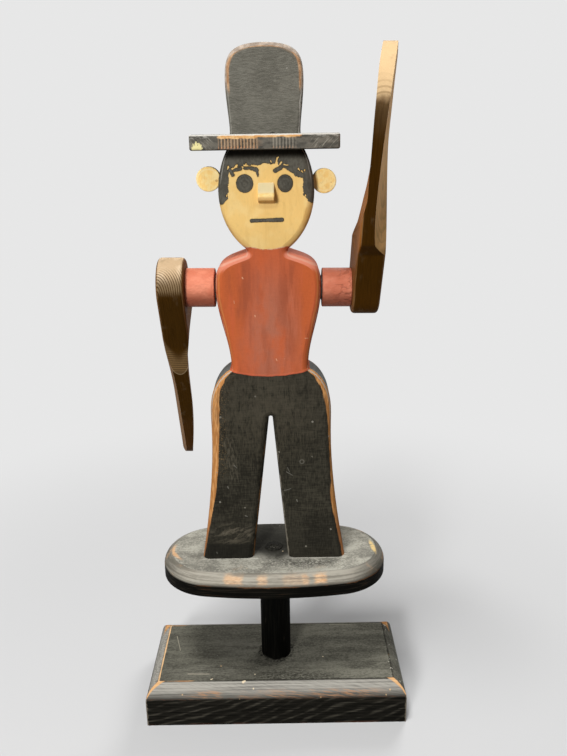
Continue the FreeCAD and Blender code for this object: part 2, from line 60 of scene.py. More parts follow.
class Graph:
    """One material's node tree, with its places in millimetres of the part's frame.

    Places and facings are the piece's own, so the paint goes with a piece that moves.
    """

    def __init__(self, name):
        self.material = bpy.data.materials.new(name)
        self.material.use_nodes = True
        self.tree = self.material.node_tree
        self.shader = self.tree.nodes["Principled BSDF"]
        own = self.node("ShaderNodeTexCoord")
        split = self.node("ShaderNodeSeparateXYZ")
        self.tree.links.new(own.outputs["Object"], split.inputs[0])
        self.x, self.y, self.z = (Field(self, socket) * 1000.0 for socket in split.outputs)
        turned = self.node("ShaderNodeSeparateXYZ")
        self.tree.links.new(own.outputs["Normal"], turned.inputs[0])
        self.facing_x, self.facing_y, self.facing_z = (Field(self, socket)
                                                       for socket in turned.outputs)

    def node(self, kind, **settings):
        made = self.tree.nodes.new(kind)
        for key, value in settings.items():
            setattr(made, key, value)
        return made

    def feed(self, socket, value):
        if isinstance(value, Field):
            self.tree.links.new(value.socket, socket)
        else:
            socket.default_value = value

    def math(self, operation, *values):
        made = self.node("ShaderNodeMath", operation=operation)
        for socket, value in zip(made.inputs, values):
            self.feed(socket, value)
        return Field(self, made.outputs[0])

    def vector(self, x, y, z):
        made = self.node("ShaderNodeCombineXYZ")
        for socket, value in zip(made.inputs, (x, y, z)):
            self.feed(socket, value)
        return Field(self, made.outputs[0])

    def texture(self, kind, output, sizes, seed, place, **settings):
        """A texture read at a place, or at the piece's own, in units of its grain size."""
        x, y, z = place or (self.x, self.y, self.z)
        made = self.node(kind)
        where = self.vector(x / sizes[0] + seed, y / sizes[1] + 1.7 * seed, z / sizes[2] - seed)
        self.feed(made.inputs["Vector"], where)
        for name, value in settings.items():
            made.inputs[name].default_value = value
        return Field(self, made.outputs[output])

    def noise(self, sizes, detail=3.0, roughness=0.5, distortion=0.0, seed=0.0, place=None):
        """Smooth noise, about 0.25 to 0.75, with a grain size in mm along each axis."""
        return self.texture("ShaderNodeTexNoise", "Fac", sizes, seed, place, Scale=1.0,
                            Detail=detail, Roughness=roughness, Distortion=distortion)

    def cells(self, sizes, seed=0.0, place=None):
        """Distance to the nearest of many scattered points, in units of the size."""
        return self.texture("ShaderNodeTexVoronoi", "Distance", sizes, seed, place, Scale=1.0)

    def finish(self, colour, roughness, height, relief, specular=0.25, ior=1.5):
        """Set the shader: height is 0 to 1, and relief is what that is in metres.

        Rough, dusty paint has a lower ior, as it shows no sheen at a slant.
        """
        self.feed(self.shader.inputs["Base Color"], colour)
        self.feed(self.shader.inputs["Roughness"], roughness)
        self.shader.inputs["Specular IOR Level"].default_value = specular
        self.shader.inputs["IOR"].default_value = ior
        bump = self.node("ShaderNodeBump")
        bump.inputs["Strength"].default_value = 1.0
        bump.inputs["Distance"].default_value = relief
        self.feed(bump.inputs["Height"], height)
        self.tree.links.new(bump.outputs[0], self.shader.inputs["Normal"])
        return self.material


def graph_of(*values):
    """The graph that the first Field among some values belongs to."""
    return next(value.graph for value in values if isinstance(value, Field))


def larger(*values):
    """The largest of some values."""
    return reduce(lambda one, other: graph_of(one, other).math("MAXIMUM", one, other), values)


def smaller(*values):
    """The smallest of some values."""
    return reduce(lambda one, other: graph_of(one, other).math("MINIMUM", one, other), values)


def root(value):
    return value.graph.math("SQRT", value)


def radius(u, v, middle=(0.0, 0.0)):
    """How far a point is from a middle, in mm."""
    off_u = u - middle[0]
    off_v = v - middle[1]
    return root(off_u * off_u + off_v * off_v)


def mix_value(first, second, share):
    """Numbers, from first to second by share."""
    return first + (second - first) * share


def clamped(value):
    made = value.graph.node("ShaderNodeClamp")
    value.graph.feed(made.inputs[0], value)
    return Field(value.graph, made.outputs[0])


def rise(value, low, high):
    """0 at low and 1 at high, with a smooth step between them."""
    graph = value.graph
    made = graph.node("ShaderNodeMapRange", interpolation_type="SMOOTHSTEP")
    for name, given in (("Value", value), ("From Min", low), ("From Max", high)):
        graph.feed(made.inputs[name], given)
    return Field(graph, made.outputs[0])


def between(value, low, high, soft):
    """1 where value lies between low and high, with soft ends."""
    return rise(value, low - soft, low + soft) * rise(value, high + soft, high - soft)


def profile(value, points, sharp=()):
    """A curve through (place, height) points, read at value."""
    graph = value.graph
    low, high = points[0][0], points[-1][0]
    top = max(height for place, height in points)
    bottom = min(height for place, height in points)
    made = graph.node("ShaderNodeFloatCurve")
    curve = made.mapping.curves[0]
    for number, (place, height) in enumerate(points):
        spot = ((place - low) / (high - low), (height - bottom) / (top - bottom))
        if number in (0, len(points) - 1):
            point = curve.points[0 if number == 0 else -1]
            point.location = spot
        else:
            point = curve.points.new(*spot)
        point.handle_type = "VECTOR" if number in sharp else "AUTO"
    made.mapping.update()
    graph.feed(made.inputs["Value"], (value - low) / (high - low))
    return Field(graph, made.outputs[0]) * (top - bottom) + bottom


def mix(first, second, share, blend="MIX"):
    """Colours, from first to second by share, or their product with the blend MULTIPLY."""
    graph = graph_of(share, first, second)
    made = graph.node("ShaderNodeMix", data_type="RGBA", blend_type=blend)
    graph.feed(made.inputs[0], share)
    for socket, value in ((made.inputs[6], first), (made.inputs[7], second)):
        graph.feed(socket, value if isinstance(value, Field) else (*value, 1.0))
    return Field(graph, made.outputs[2])


def shaded(colour, factor):
    """A colour times a factor."""
    if not isinstance(colour, Field) and not isinstance(factor, Field):
        return tuple(share * factor for share in colour)
    grey = graph_of(colour, factor).vector(factor, factor, factor)
    return mix(colour, grey, 1.0, "MULTIPLY")


# ---------------------------------------------------------------- shapes of painted marks

def oval_depth(u, v, middle, half_u, half_v):
    """How far inside an oval a point is, in mm, and negative outside it."""
    across = (u - middle[0]) / half_u
    up = (v - middle[1]) / half_v
    return (1.0 - radius(across, up)) * min(half_u, half_v)


def oval(u, v, middle, half_u, half_v, edge):
    """1 inside an oval, with an edge given as a share of its size."""
    depth = oval_depth(u, v, middle, half_u, half_v)
    soft = edge * min(half_u, half_v)
    return rise(depth, -soft, soft)


def stroke_depth(u, v, start, end, width_start, width_end):
    """How far inside a brush stroke a point is, in mm, and negative outside it."""
    run = (end[0] - start[0], end[1] - start[1])
    length = run[0] ** 2 + run[1] ** 2
    from_u = u - start[0]
    from_v = v - start[1]
    share = clamped((from_u * run[0] + from_v * run[1]) / length)
    half = share * (width_end - width_start) * 0.5 + width_start * 0.5
    return half - radius(from_u - share * run[0], from_v - share * run[1])


def stroke(u, v, start, end, width_start, width_end, soft):
    """1 inside a brush stroke from start to end."""
    return rise(stroke_depth(u, v, start, end, width_start, width_end), -soft, soft)


def strokes(u, v, marks, soft=0.35):
    """1 on any of several scratches, each given as (start, end, width)."""
    return larger(*(stroke(u, v, start, end, width, width * 0.7, soft) for start, end,
                    width in marks))


# ---------------------------------------------------------------- sizes of the part, in mm

BASE_HALF_LENGTH = 114.5
BASE_HALF_WIDTH = 51.0
BASE_TOP = 38.0
PLATFORM_TOP = 147.0
LEG_SLOT_TOP = 289.5
LEG_SLOT_HEIGHT = LEG_SLOT_TOP - PLATFORM_TOP
FRONT_FACE = (-17.0, -18.8)     # from the figure's rounded edge to its flat front, along y
EAR_MIDDLE = (44.3, 464.6)
BRIM_TOP = 497.7
CROWN_HALF_THICKNESS = 9.5
AXLE_Z = 381.0
PADDLE_MIDDLE = 76.65           # from the figure's middle to the paddle board's, along the axle
ARM_TILT = math.radians(29.5)
AXLE_SLANT = math.radians(0.7)


# ---------------------------------------------------------------- paints and woods

DUSTY_IOR = 1.14
BARE = (0.52, 0.245, 0.082)
BARE_PALE = (0.74, 0.48, 0.24)
BARE_DARK = (0.27, 0.105, 0.033)
TAN = (0.93, 0.615, 0.218)
TAN_PALE = (0.96, 0.7, 0.3)
TAN_DARK = (0.64, 0.35, 0.09)


def bare_wood(graph, grain, seed=0.0):
    """The wood that shows where paint has rubbed off: ochre, streaked along the grain."""
    streak = graph.noise(grain, detail=4.0, roughness=0.6, seed=seed + 5.0)
    colour = mix(BARE, BARE_PALE, rise(streak, 0.5, 0.7))
    return mix(colour, BARE_DARK, rise(streak, 0.46, 0.32) * 0.7)


def flecks(graph, size, amount, seed, place=None):
    """Scattered small chips and specks."""
    distance = graph.cells((size, size, size), seed=seed, place=place)
    chance = graph.noise((size * 2.3, size * 2.3, size * 2.3), detail=1.0, seed=seed + 2.0,
                         place=place)
    return rise(distance, 0.13, 0.08) * rise(chance, 1.0 - amount, 1.02 - amount)


# ---------------------------------------------------------------- black pieces

# the base's growth rings on its long faces: one ring's height at places along x, and how
# far below it lie the next RINGS_IN_DEPTH rings
RING_LEVEL = ((-BASE_HALF_LENGTH, -75.0), (-40.0, -54.0), (30.0, -31.0), (70.0, -21.0),
              (BASE_HALF_LENGTH, 5.0))
RINGS_IN_DEPTH = 7.25
RING_DEPTH = ((-BASE_HALF_LENGTH, 50.0), (-40.0, 50.0), (30.0, 60.0), (70.0, 72.0),
              (BASE_HALF_LENGTH, 40.0))
# marks are given by a start, an end and a width
BASE_SCRATCHES = (((-79.0, -31.2), (-60.0, -31.7), 0.8), ((52.0, 39.0), (78.0, 37.4), 0.4),
                  ((-96.0, 24.0), (-90.0, 2.0), 0.4))
BASE_CHIPS = (((-29.0, -42.2), (-27.6, -41.4), 2.2), ((-57.7, -39.0), (-56.4, -38.2), 1.2),
              ((-19.0, -33.0), (-18.6, -33.0), 1.1), ((43.0, -10.0), (43.4, -10.0), 1.2),
              ((-20.0, -47.0), (-19.6, -47.0), 1.0))


def base_rings(graph):
    """Dark lines where the rings run out through the long faces, and arcs on the ends."""
    x, y, z = graph.x, graph.y, graph.z
    waver = (graph.noise((30.0, 30.0, 9.0), detail=3.0, seed=1.0) - 0.5) * 8.0
    level = profile(x, RING_LEVEL)
    depth = profile(x, RING_DEPTH)
    along = (z + waver - level) / depth * RINGS_IN_DEPTH
    across = radius(y, z, (-14.0, -26.0)) + waver * 0.4
    on_end = rise(abs(graph.facing_x), 0.6, 0.8)
    share = graph.math("FRACT", mix_value(along, across / 5.0, on_end))
    width = graph.noise((26.0, 26.0, 6.0), detail=2.0, seed=4.4) * 0.3
    return rise(abs(share - 0.5), width + 0.1, 0.01)


def base_board_finish():
    graph = Graph("base_black_paint")
    x, y, z = graph.x, graph.y, graph.z
    from_left = x + BASE_HALF_LENGTH
    from_right = BASE_HALF_LENGTH - x
    from_front = y + BASE_HALF_WIDTH
    end = smaller(from_left, from_right)
    side = smaller(from_front, BASE_HALF_WIDTH - y)
    edge = smaller(end, side)
    ragged = graph.noise((7.0, 7.0, 4.0), detail=4.0, roughness=0.65, seed=2.0)
    fine = graph.noise((60.0, 1.1, 1.1), detail=5.0, roughness=0.6)
    fibre = graph.noise((9.0, 0.7, 0.7), detail=4.0, roughness=0.6, seed=5.0)
    cloud = graph.noise((46.0, 12.0, 15.0), detail=4.0, roughness=0.55, distortion=0.2, seed=3.1)
    speck = graph.noise((0.9, 0.9, 0.9), detail=2.0, seed=8.3)
    broken = graph.noise((30.0, 20.0, 6.0), detail=3.0, roughness=0.6, seed=46.0)

    # upright faces: black, with thin grey lines where the rings run out
    ring = base_rings(graph)
    ground = mix((0.0044, 0.0041, 0.0032), (0.015, 0.0138, 0.0107),
                 rise(fine * 0.55 + fibre * 0.45, 0.4, 0.64))
    colour = mix(ground, (0.056, 0.051, 0.04), ring * rise(fine, 0.34, 0.6)
                 * (rise(broken, 0.4, 0.58) * 0.85 + 0.15))
    high_lines = graph.noise((60.0, 30.0, 0.9), detail=3.0, seed=44.0)
    high_lines = rise(z, 19.0, 24.0) * rise(high_lines, 0.52, 0.62)
    colour = mix(colour, (0.026, 0.0225, 0.017), high_lines * 0.7)
    low_edge = rise(z, 2.0, 0.6) * rise(graph.noise((30.0, 20.0, 9.0), seed=4.0), 0.54, 0.64)
    colour = mix(colour, (0.07, 0.03, 0.018), low_edge * 0.8)

    # top: a dusty grey that also carries painted sheen, lighter towards the right, finely mottled
    # and scuffed; a painted shadow rings the post's foot
    top = rise(z, BASE_TOP - 0.6, BASE_TOP - 0.05)
    grit = graph.noise((2.2, 1.5, 1.5), detail=4.0, roughness=0.65, seed=51.0)
    mottle = rise(cloud * 0.36 + grit * 0.3 + fibre * 0.2 + speck * 0.14, 0.41, 0.6)
    top_dust_and_sheen = mix((0.058, 0.0555, 0.044), (0.155, 0.149, 0.118), mottle)
    top_dust_and_sheen = shaded(top_dust_and_sheen, rise(x, -20.0, 90.0) * 0.35 + 0.95)
    near_post = radius(x, y)
    scuffed = rise(near_post, 44.0, 18.0) * rise(grit, 0.4, 0.66)
    top_dust_and_sheen = mix(top_dust_and_sheen, (0.15, 0.144, 0.116), scuffed * 0.45)
    hazy = oval(x, y, (-66.0, -30.0), 34.0, 9.0, 0.7) * rise(fibre, 0.44, 0.66)
    top_dust_and_sheen = mix(top_dust_and_sheen, (0.2, 0.19, 0.16), hazy * 0.4)
    behind = oval(x, y, (-34.0, 14.0), 26.0, 22.0, 0.8) * rise(cloud, 0.34, 0.6)
    top_dust_and_sheen = mix(top_dust_and_sheen, (0.125, 0.12, 0.1), behind * 0.5)
    # painted shadow: a dark ring at the post's foot, joined to a dark patch near the front
    dark_patch_and_post_shadow = larger(oval(x, y, (14.0, -38.0), 26.0, 7.0, 0.8) * 0.9,
                  rise(abs(near_post - 15.2), 2.2, 0.4))
    top_dust_and_sheen = mix(top_dust_and_sheen, (0.014, 0.0132, 0.0108), dark_patch_and_post_shadow * rise(grit, 0.66, 0.4) * 0.8)
    colour = mix(colour, top_dust_and_sheen, top)

    # the rounded edge: silvery, partly polished by handling and partly a painted highlight that
    # is brightest near the top, and warmer lower down
    above = rise(z, 25.6, 29.4)
    round_zone = above * top.inverted()
    brushed = graph.noise((90.0, 0.9, 0.9), detail=3.0, roughness=0.5, seed=12.0)
    slanted = graph.noise((13.0, 9.0, 0.8), detail=4.0, roughness=0.6, seed=14.0,
                          place=(x, y, z + x * 0.16))
    silver_wear_and_highlight = mix((0.19, 0.18, 0.158), (0.37, 0.352, 0.308),
                 rise(brushed * 0.7 + slanted * 0.3, 0.38, 0.6))
    silver_wear_and_highlight = shaded(silver_wear_and_highlight, rise(z, 29.0, 34.5) * 0.55 + 0.45)
    right_end = rise(from_right, 13.0, 11.5) * rise(from_right - side, 2.0, -2.0)
    silver_wear_and_highlight = mix(silver_wear_and_highlight, shaded(top_dust_and_sheen, 0.8), right_end)
    colour = mix(colour, silver_wear_and_highlight, round_zone)
    warm = rise(z, 34.4, 31.6) * rise(slanted, 0.46, 0.6) * rise(abs(x - 8.0), 98.0, 62.0)
    warm = warm * right_end.inverted()
    warm = warm * rise(graph.noise((40.0, 20.0, 20.0), seed=9.4), 0.34, 0.5)
    colour = mix(colour, (0.44, 0.22, 0.1), warm * round_zone * 0.75)
    thread = rise(abs(z - 27.0 - (ragged - 0.5) * 3.0), 1.1, 0.3) * rise(slanted, 0.5, 0.6)
    colour = mix(colour, (0.11, 0.05, 0.028), thread * 0.6)

    # paint rubbed through on the corners, along the left border and in a few chips
    past_mitre = end - side
    reach = edge * 0.42 + 0.7 + (ragged - 0.5) * 2.0
    mitre = rise(past_mitre, -1.0, -0.4) * rise(past_mitre - reach, 0.5, -0.5)
    mitre = mitre * rise(edge, 11.6, 10.4) * rise(z, 27.0, 29.0)
    mitre = mitre * rise(from_front, 24.0, 20.0)
    back_corner = rise(end + side * 0.5 - (ragged - 0.4) * 12.0, 14.0, 12.0)
    back_corner = back_corner * rise(abs(edge - 8.0), 4.4, 3.0) * rise(from_front, 78.0, 84.0)
    on_border = rise(abs(edge - 10.5) - (ragged - 0.42) * 1.5, 0.75, 0.25)
    left_line = on_border * rise(from_left, 13.0, 12.0) * rise(side, 7.0, 9.5)
    rough_line = rise(graph.noise((40.0, 40.0, 9.0), seed=9.0), 0.56, 0.66)
    # painted shadow: a dark line along the top's border, on its right part
    arris_shadow_line = on_border * left_line.inverted() * rise(x, -70.0, -20.0)
    colour = mix(colour, (0.012, 0.011, 0.009), arris_shadow_line * 0.75)
    corner_line = rise(radius(end, side) - (ragged - 0.5) * 4.0, 1.3, 0.6)
    worn = larger(mitre, left_line * 0.9, back_corner, on_border * rough_line * 0.6)
    wood = bare_wood(graph, (26.0, 1.8, 1.8))
    wood = mix(wood, (0.78, 0.5, 0.26), larger(left_line, mitre * 0.5))
    colour = mix(colour, wood, worn)
    colour = mix(colour, (0.17, 0.145, 0.11), corner_line * 0.8)
    right_chips = rise(graph.noise((3.0, 3.0, 3.0), detail=2.0, seed=57.0), 0.66, 0.7)
    colour = mix(colour, (0.52, 0.49, 0.42), right_chips * right_end * rise(z, 30.0, 33.0))

    # scratches and chips
    lines = strokes(x, y, BASE_SCRATCHES, 0.3)
    colour = mix(colour, (0.5, 0.45, 0.34), top * lines * 0.8)
    spots = strokes(x, y, BASE_CHIPS, 0.3)
    colour = mix(colour, (0.72, 0.6, 0.42), spots * rise(z, 30.0, 33.0))
    colour = mix(colour, BARE_PALE, flecks(graph, 9.0, 0.34, 3.3) * rise(z, 24.0, 28.0) * 0.6)
    colour = mix(colour, (0.24, 0.23, 0.2), flecks(graph, 4.4, 0.42, 7.9) * top * 0.7)
    roughness = 0.52 - round_zone * 0.1 + worn * 0.1 + top * 0.12
    height = fine * 0.3 + fibre * 0.2 + ring * top.inverted() * 0.12 - worn * 0.2
    height = height + top * (grit * 0.3 + speck * 0.2) - top * lines * 0.3
    return graph.finish(colour, roughness, height, 0.0004, specular=0.14, ior=DUSTY_IOR)


def post_finish():
    graph = Graph("post_black_paint")
    z = graph.z
    fibre = graph.noise((1.1, 1.1, 34.0), detail=4.0, roughness=0.6, seed=1.0)
    # painted shade: this black is darker than the same paint on the base, for the shade under the
    # platform
    colour = mix((0.0008, 0.0008, 0.0006), (0.0042, 0.0039, 0.003), rise(fibre, 0.44, 0.68))
    rub = rise(graph.noise((5.0, 5.0, 22.0), detail=4.0, seed=3.0), 0.64, 0.74)
    colour = mix(colour, (0.018, 0.015, 0.011), rub * 0.7)
    foot = rise(z, 39.6, 38.4) * rise(graph.noise((6.0, 6.0, 2.0), seed=7.0), 0.42, 0.6)
    colour = mix(colour, (0.14, 0.135, 0.11), foot * 0.7)
    return graph.finish(colour, 0.6 - rub * 0.05, fibre, 0.00025, specular=0.2, ior=DUSTY_IOR)


# bare patches on the platform's front edge: the middle along x, the half length, the strength
PLATFORM_PATCHES = ((-34.0, 7.4, 0.7), (-9.8, 3.8, 0.62), (18.8, 10.4, 0.34),
                    (15.4, 1.8, 0.3), (26.6, 2.6, 0.66), (39.4, 4.6, 0.95))


def platform_finish():
    graph = Graph("platform_black_paint")
    x, y, z = graph.x, graph.y, graph.z
    ragged = graph.noise((6.0, 5.0, 4.0), detail=4.0, roughness=0.65, seed=2.0)
    fine = graph.noise((34.0, 1.3, 0.7), detail=5.0, roughness=0.6, seed=1.0)
    fibre = graph.noise((5.0, 0.8, 0.8), detail=5.0, roughness=0.65, seed=17.0)
    cloud = graph.noise((20.0, 14.0, 14.0), detail=4.0, distortion=0.4, seed=3.0)

    # rim: near black, with long grain lines and a little brown in them
    lines = graph.noise((80.0, 9.0, 0.8), detail=4.0, roughness=0.65, seed=4.0)
    colour = mix((0.003, 0.0028, 0.0021), (0.022, 0.019, 0.014), rise(lines, 0.5, 0.68))
    brown = graph.noise((24.0, 24.0, 5.0), detail=3.0, seed=6.0)
    brown = rise(lines, 0.56, 0.66) * rise(brown, 0.52, 0.62)
    colour = mix(colour, (0.06, 0.026, 0.012), brown * 0.6)

    # top: silvery grey, dust with painted sheen in it, finely scratched; painted shade darkens it
    # round the feet and the pivot and behind the feet
    top = rise(z, PLATFORM_TOP - 0.7, PLATFORM_TOP - 0.05)
    grit = graph.noise((1.6, 1.2, 1.2), detail=4.0, roughness=0.65, seed=51.0)
    scratched = rise(grit * 0.42 + fine * 0.16 + cloud * 0.42, 0.4, 0.6)
    top_dust_and_sheen = mix((0.19, 0.182, 0.152), (0.44, 0.422, 0.354), scratched)
    from_pivot = root(x * x * 0.85 + (y - 4.0) * (y - 4.0))
    shade = rise(from_pivot + (cloud - 0.5) * 10.0, 36.0, 14.0)
    top_dust_and_sheen = mix(top_dust_and_sheen, (0.015, 0.0142, 0.0112), shade * 0.92)
    # painted shade behind the feet
    behind = rise(y, 4.0, 24.0) * rise(abs(x), 66.0, 44.0)
    top_dust_and_sheen = mix(top_dust_and_sheen, (0.04, 0.038, 0.031), behind * 0.75)
    before = oval(x, y, (24.0, -28.0), 34.0, 6.5, 0.7) * rise(grit, 0.62, 0.42)
    top_dust_and_sheen = mix(top_dust_and_sheen, (0.062, 0.059, 0.048), before * 0.7)
    pivot_mark = rise(abs(radius(x, y) - 9.4), 1.4, 0.3) * rise(grit, 0.4, 0.6)
    top_dust_and_sheen = mix(top_dust_and_sheen, (0.045, 0.043, 0.036), pivot_mark * 0.5)
    foot_line = rise(abs(y + 19.7), 0.9, 0.4) * between(abs(x), 13.5, 62.5, 0.6)
    top_dust_and_sheen = mix(top_dust_and_sheen, (0.52, 0.5, 0.43), foot_line * rise(grit, 0.38, 0.5) * 0.65)
    top_dust_and_sheen = mix(top_dust_and_sheen, (0.56, 0.53, 0.45), flecks(graph, 3.6, 0.46, 7.9)
                     * rise(shade, 0.5, 0.1) * 0.7)
    colour = mix(colour, top_dust_and_sheen, top)

    # the rounded edge: brushed pale, partly wear and partly a painted highlight that fades
    # towards its ends, and rubbed through in patches along the front
    above = rise(z, 136.6, 139.6)
    round_zone = above * top.inverted()
    brushed = graph.noise((60.0, 20.0, 1.5), detail=3.0, roughness=0.5, seed=12.0)
    silver_wear_and_highlight = mix((0.205, 0.188, 0.152), (0.37, 0.344, 0.286),
                 rise(brushed * 0.75 + fibre * 0.25, 0.38, 0.62))
    silver_wear_and_highlight = shaded(silver_wear_and_highlight, rise(abs(x + 6.0), 96.0, 62.0) * 0.5 + 0.5)
    colour = mix(colour, silver_wear_and_highlight, round_zone)
    front = rise(y, -26.0, -38.0)
    smear = (graph.noise((40.0, 40.0, 1.7), detail=3.0, roughness=0.6, seed=29.0) - 0.5) * 7.0
    along_front = x + smear
    patches = larger(*(rise(abs(along_front - middle), half + 2.2, half - 1.6) * strength
                       for middle, half, strength in PLATFORM_PATCHES))
    reach = z + (ragged - 0.5) * 4.0 + smear * 0.12
    patches = patches * between(reach, 139.4, 145.6, 1.6)
    soft_streak = rise(brushed * 0.6 + fibre * 0.4, 0.4, 0.58) * 0.65 + 0.35
    front_worn = patches * front * soft_streak
    elsewhere = graph.noise((15.0, 15.0, 8.0), detail=3.0, roughness=0.5, seed=21.0)
    other_worn = rise(elsewhere, 0.56, 0.68) * round_zone * front.inverted() * soft_streak
    on_arc = root(x * x * 0.235 + y * y)
    crescent = rise(abs(on_arc - 43.4 - (ragged - 0.5) * 2.0), 1.2, 0.4)
    crescent = crescent * rise(x, -77.0, -81.0) * between(y, -18.0, 4.0, 5.0)
    wood = mix((0.64, 0.33, 0.14), (0.76, 0.5, 0.29), rise(fibre, 0.42, 0.6))
    worn = larger(front_worn * 0.9, other_worn * 0.45, crescent * 0.75)
    colour = mix(colour, wood, worn)
    low_thread = rise(abs(z - 137.4 - (ragged - 0.5) * 2.4), 0.8, 0.2)
    low_thread = low_thread * rise(graph.noise((26.0, 26.0, 9.0), seed=33.0), 0.44, 0.56)
    colour = mix(colour, (0.12, 0.058, 0.026), low_thread * 0.8)
    yellow = oval(x + y * 0.12, y, (87.6, -2.0), 2.0, 10.0, 0.35) * rise(ragged, 0.34, 0.46)
    colour = mix(colour, (0.78, 0.56, 0.23), yellow * rise(z, 141.0, 143.0) * 0.85)
    chips = flecks(graph, 8.0, 0.38, 5.3)
    colour = mix(colour, (0.7, 0.56, 0.36), chips * rise(z, 139.0, 141.0) * 0.7)
    roughness = 0.54 - round_zone * 0.1 + top * 0.06
    height = fine * 0.25 + grit * 0.4 * top + fibre * 0.15
    height = height + lines * 0.3 * above.inverted() - chips * 0.3
    return graph.finish(colour, roughness, height, 0.0004, specular=0.16, ior=DUSTY_IOR)


def hat_brim_finish():
    graph = Graph("brim_black_paint")
    x, y, z = graph.x, graph.y, graph.z
    front = rise(graph.facing_y, -0.5, -0.85)
    upright = rise(abs(graph.facing_z), 0.75, 0.4)
    ragged = graph.noise((5.0, 3.0, 2.2), detail=4.0, roughness=0.65, seed=2.0)
    fine = graph.noise((30.0, 1.4, 1.2), detail=5.0, roughness=0.6, seed=1.0)
    cloud = graph.noise((11.0, 9.0, 6.0), detail=4.0, seed=3.0)
    colour = mix((0.026, 0.0245, 0.02), (0.078, 0.073, 0.06), rise(fine, 0.4, 0.66))
    sides = mix((0.07, 0.066, 0.056), (0.165, 0.15, 0.122),
                rise(cloud * 0.6 + ragged * 0.4, 0.36, 0.62))
    colour = mix(colour, sides, upright)

    # upright saw marks on the cut edges: strong on the left of the front, faint elsewhere
    along = x + y
    saw = graph.math("SINE", along * 2.72 + (ragged - 0.5) * 2.0) * 0.5 + 0.5
    behind = rise(graph.noise((22.0, 22.0, 30.0), detail=2.0, seed=7.4), 0.48, 0.6)
    strong = larger(rise(abs(x + 19.0), 15.0, 12.5) * front,
                    rise(abs(x - 13.5), 10.0, 7.0) * front * 0.42,
                    front.inverted() * behind * 0.5)
    saw_line = rise(saw, 0.5, 0.85) * rise(ragged + saw * 0.1, 0.34, 0.5)
    colour = mix(colour, (0.036, 0.032, 0.026), upright * strong * rise(saw, 0.5, 0.15) * 0.55)
    bar = mix((0.47, 0.265, 0.125), (0.52, 0.385, 0.25), rise(ragged, 0.42, 0.58))
    bar = mix(bar, (0.43, 0.38, 0.3), rise(abs(x + 19.0), 17.0, 24.0))
    colour = mix(colour, bar, upright * strong * saw_line * 0.74)
    tan_haze = rise(abs(x + 17.0), 17.0, 11.0) * front * upright
    colour = mix(colour, (0.3, 0.165, 0.08), tan_haze * rise(ragged, 0.42, 0.58) * 0.35)
    low = rise(z + (ragged - 0.5) * 3.0, 489.6, 488.4) * strong * saw_line
    colour = mix(colour, (0.56, 0.26, 0.125), upright * low * 0.8)

    # slanting scratches near both ends
    slant = rise(x, -4.0, 4.0) * 2.0 - 1.0
    scratches = graph.noise((0.8, 0.8, 7.0), detail=4.0, roughness=0.65, seed=14.0,
                            place=(x - slant * z * 0.9, y, z + slant * x * 0.5))
    near_ends = rise(abs(x + 2.0), 30.0, 40.0)
    scratched = near_ends * rise(scratches, 0.53, 0.66)
    colour = mix(colour, (0.36, 0.34, 0.28), upright * scratched * 0.65)

    # the top edge: white along its arris, and rubbed to the wood under that
    edge_line = rise(z + (ragged - 0.5) * 0.9, 496.3, 496.9)
    edge_line = edge_line * rise(z, BRIM_TOP - 0.01, BRIM_TOP - 0.2)
    edge_line = edge_line * rise(larger(abs(x) - 50.0, abs(y) - 34.0), 0.0, 1.2)
    middle = rise(abs(x + 2.5) - (ragged - 0.5) * 12.0, 31.5, 28.5)
    deep = rise(abs(x + 19.0), 17.0, 11.0)
    band = rise(z + (ragged - 0.5) * 2.6 + deep * 0.7, 495.0, 495.7) * upright * front
    back_band = rise(z + (ragged - 0.5) * 4.0, 495.4, 496.4) * upright * front.inverted()
    back_band = back_band * rise(graph.noise((26.0, 26.0, 40.0), seed=11.0), 0.46, 0.56)
    wood = mix((0.64, 0.33, 0.12), (0.74, 0.47, 0.22), rise(ragged, 0.44, 0.6))
    colour = mix(colour, wood, larger(band * middle, back_band * 0.8))
    colour = mix(colour, (0.6, 0.575, 0.52), edge_line * 0.9)
    bare_top = rise(z, 494.6, 495.6) * upright * rise(abs(x + 2.5), 34.0, 40.0)
    colour = mix(colour, (0.42, 0.4, 0.355), bare_top * rise(ragged, 0.46, 0.6) * 0.6)
    low_line = rise(abs(z - 487.6), 0.6, 0.2) * rise(ragged, 0.4, 0.55) * upright
    colour = mix(colour, (0.25, 0.225, 0.18), low_line * 0.7)

    # a pale yellow chip at the lower left, with upright splits in it
    split = graph.noise((1.0, 2.0, 4.0), detail=3.0, roughness=0.6, seed=31.0)
    patch = oval_depth(x, z, (-48.4, 488.8), 4.0, 3.8) + (split - 0.5) * 4.0
    upright_splits = graph.noise((1.0, 2.0, 4.0), detail=3.0, roughness=0.65, seed=38.0)
    patch = patch - rise(upright_splits, 0.55, 0.63) * rise(z, 488.6, 491.4) * 3.0
    colour = mix(colour, (0.76, 0.68, 0.33), rise(patch, -0.1, 0.5) * front)
    colour = mix(colour, (0.58, 0.5, 0.38), flecks(graph, 7.0, 0.38, 9.3) * 0.7)
    height = fine * 0.3 + saw * strong * upright * 0.4 + scratches * upright * 0.25 + ragged * 0.1
    return graph.finish(colour, 0.56, height, 0.0004, specular=0.16, ior=DUSTY_IOR)


CROWN_SIDE = ((BRIM_TOP, 26.6), (520.0, 28.0), (538.7, 28.9), (548.0, 28.2), (553.7, 25.2),
              (558.5, 18.0), (561.0, 9.0), (561.5, 0.0))
CROWN_TOP = ((0.0, 561.5), (9.0, 561.0), (18.0, 558.5), (25.2, 553.7), (28.2, 548.0),
             (28.9, 538.7))


def crown_depth(graph):
    """About how far in from the crown's outline a point is, seen from the front."""
    side = larger(profile(graph.z, CROWN_SIDE) - abs(graph.x), 0.0)
    top = larger(profile(smaller(abs(graph.x), 28.9), CROWN_TOP) - graph.z, 0.0)
    return side * top / root(side * side + top * top + 0.02)


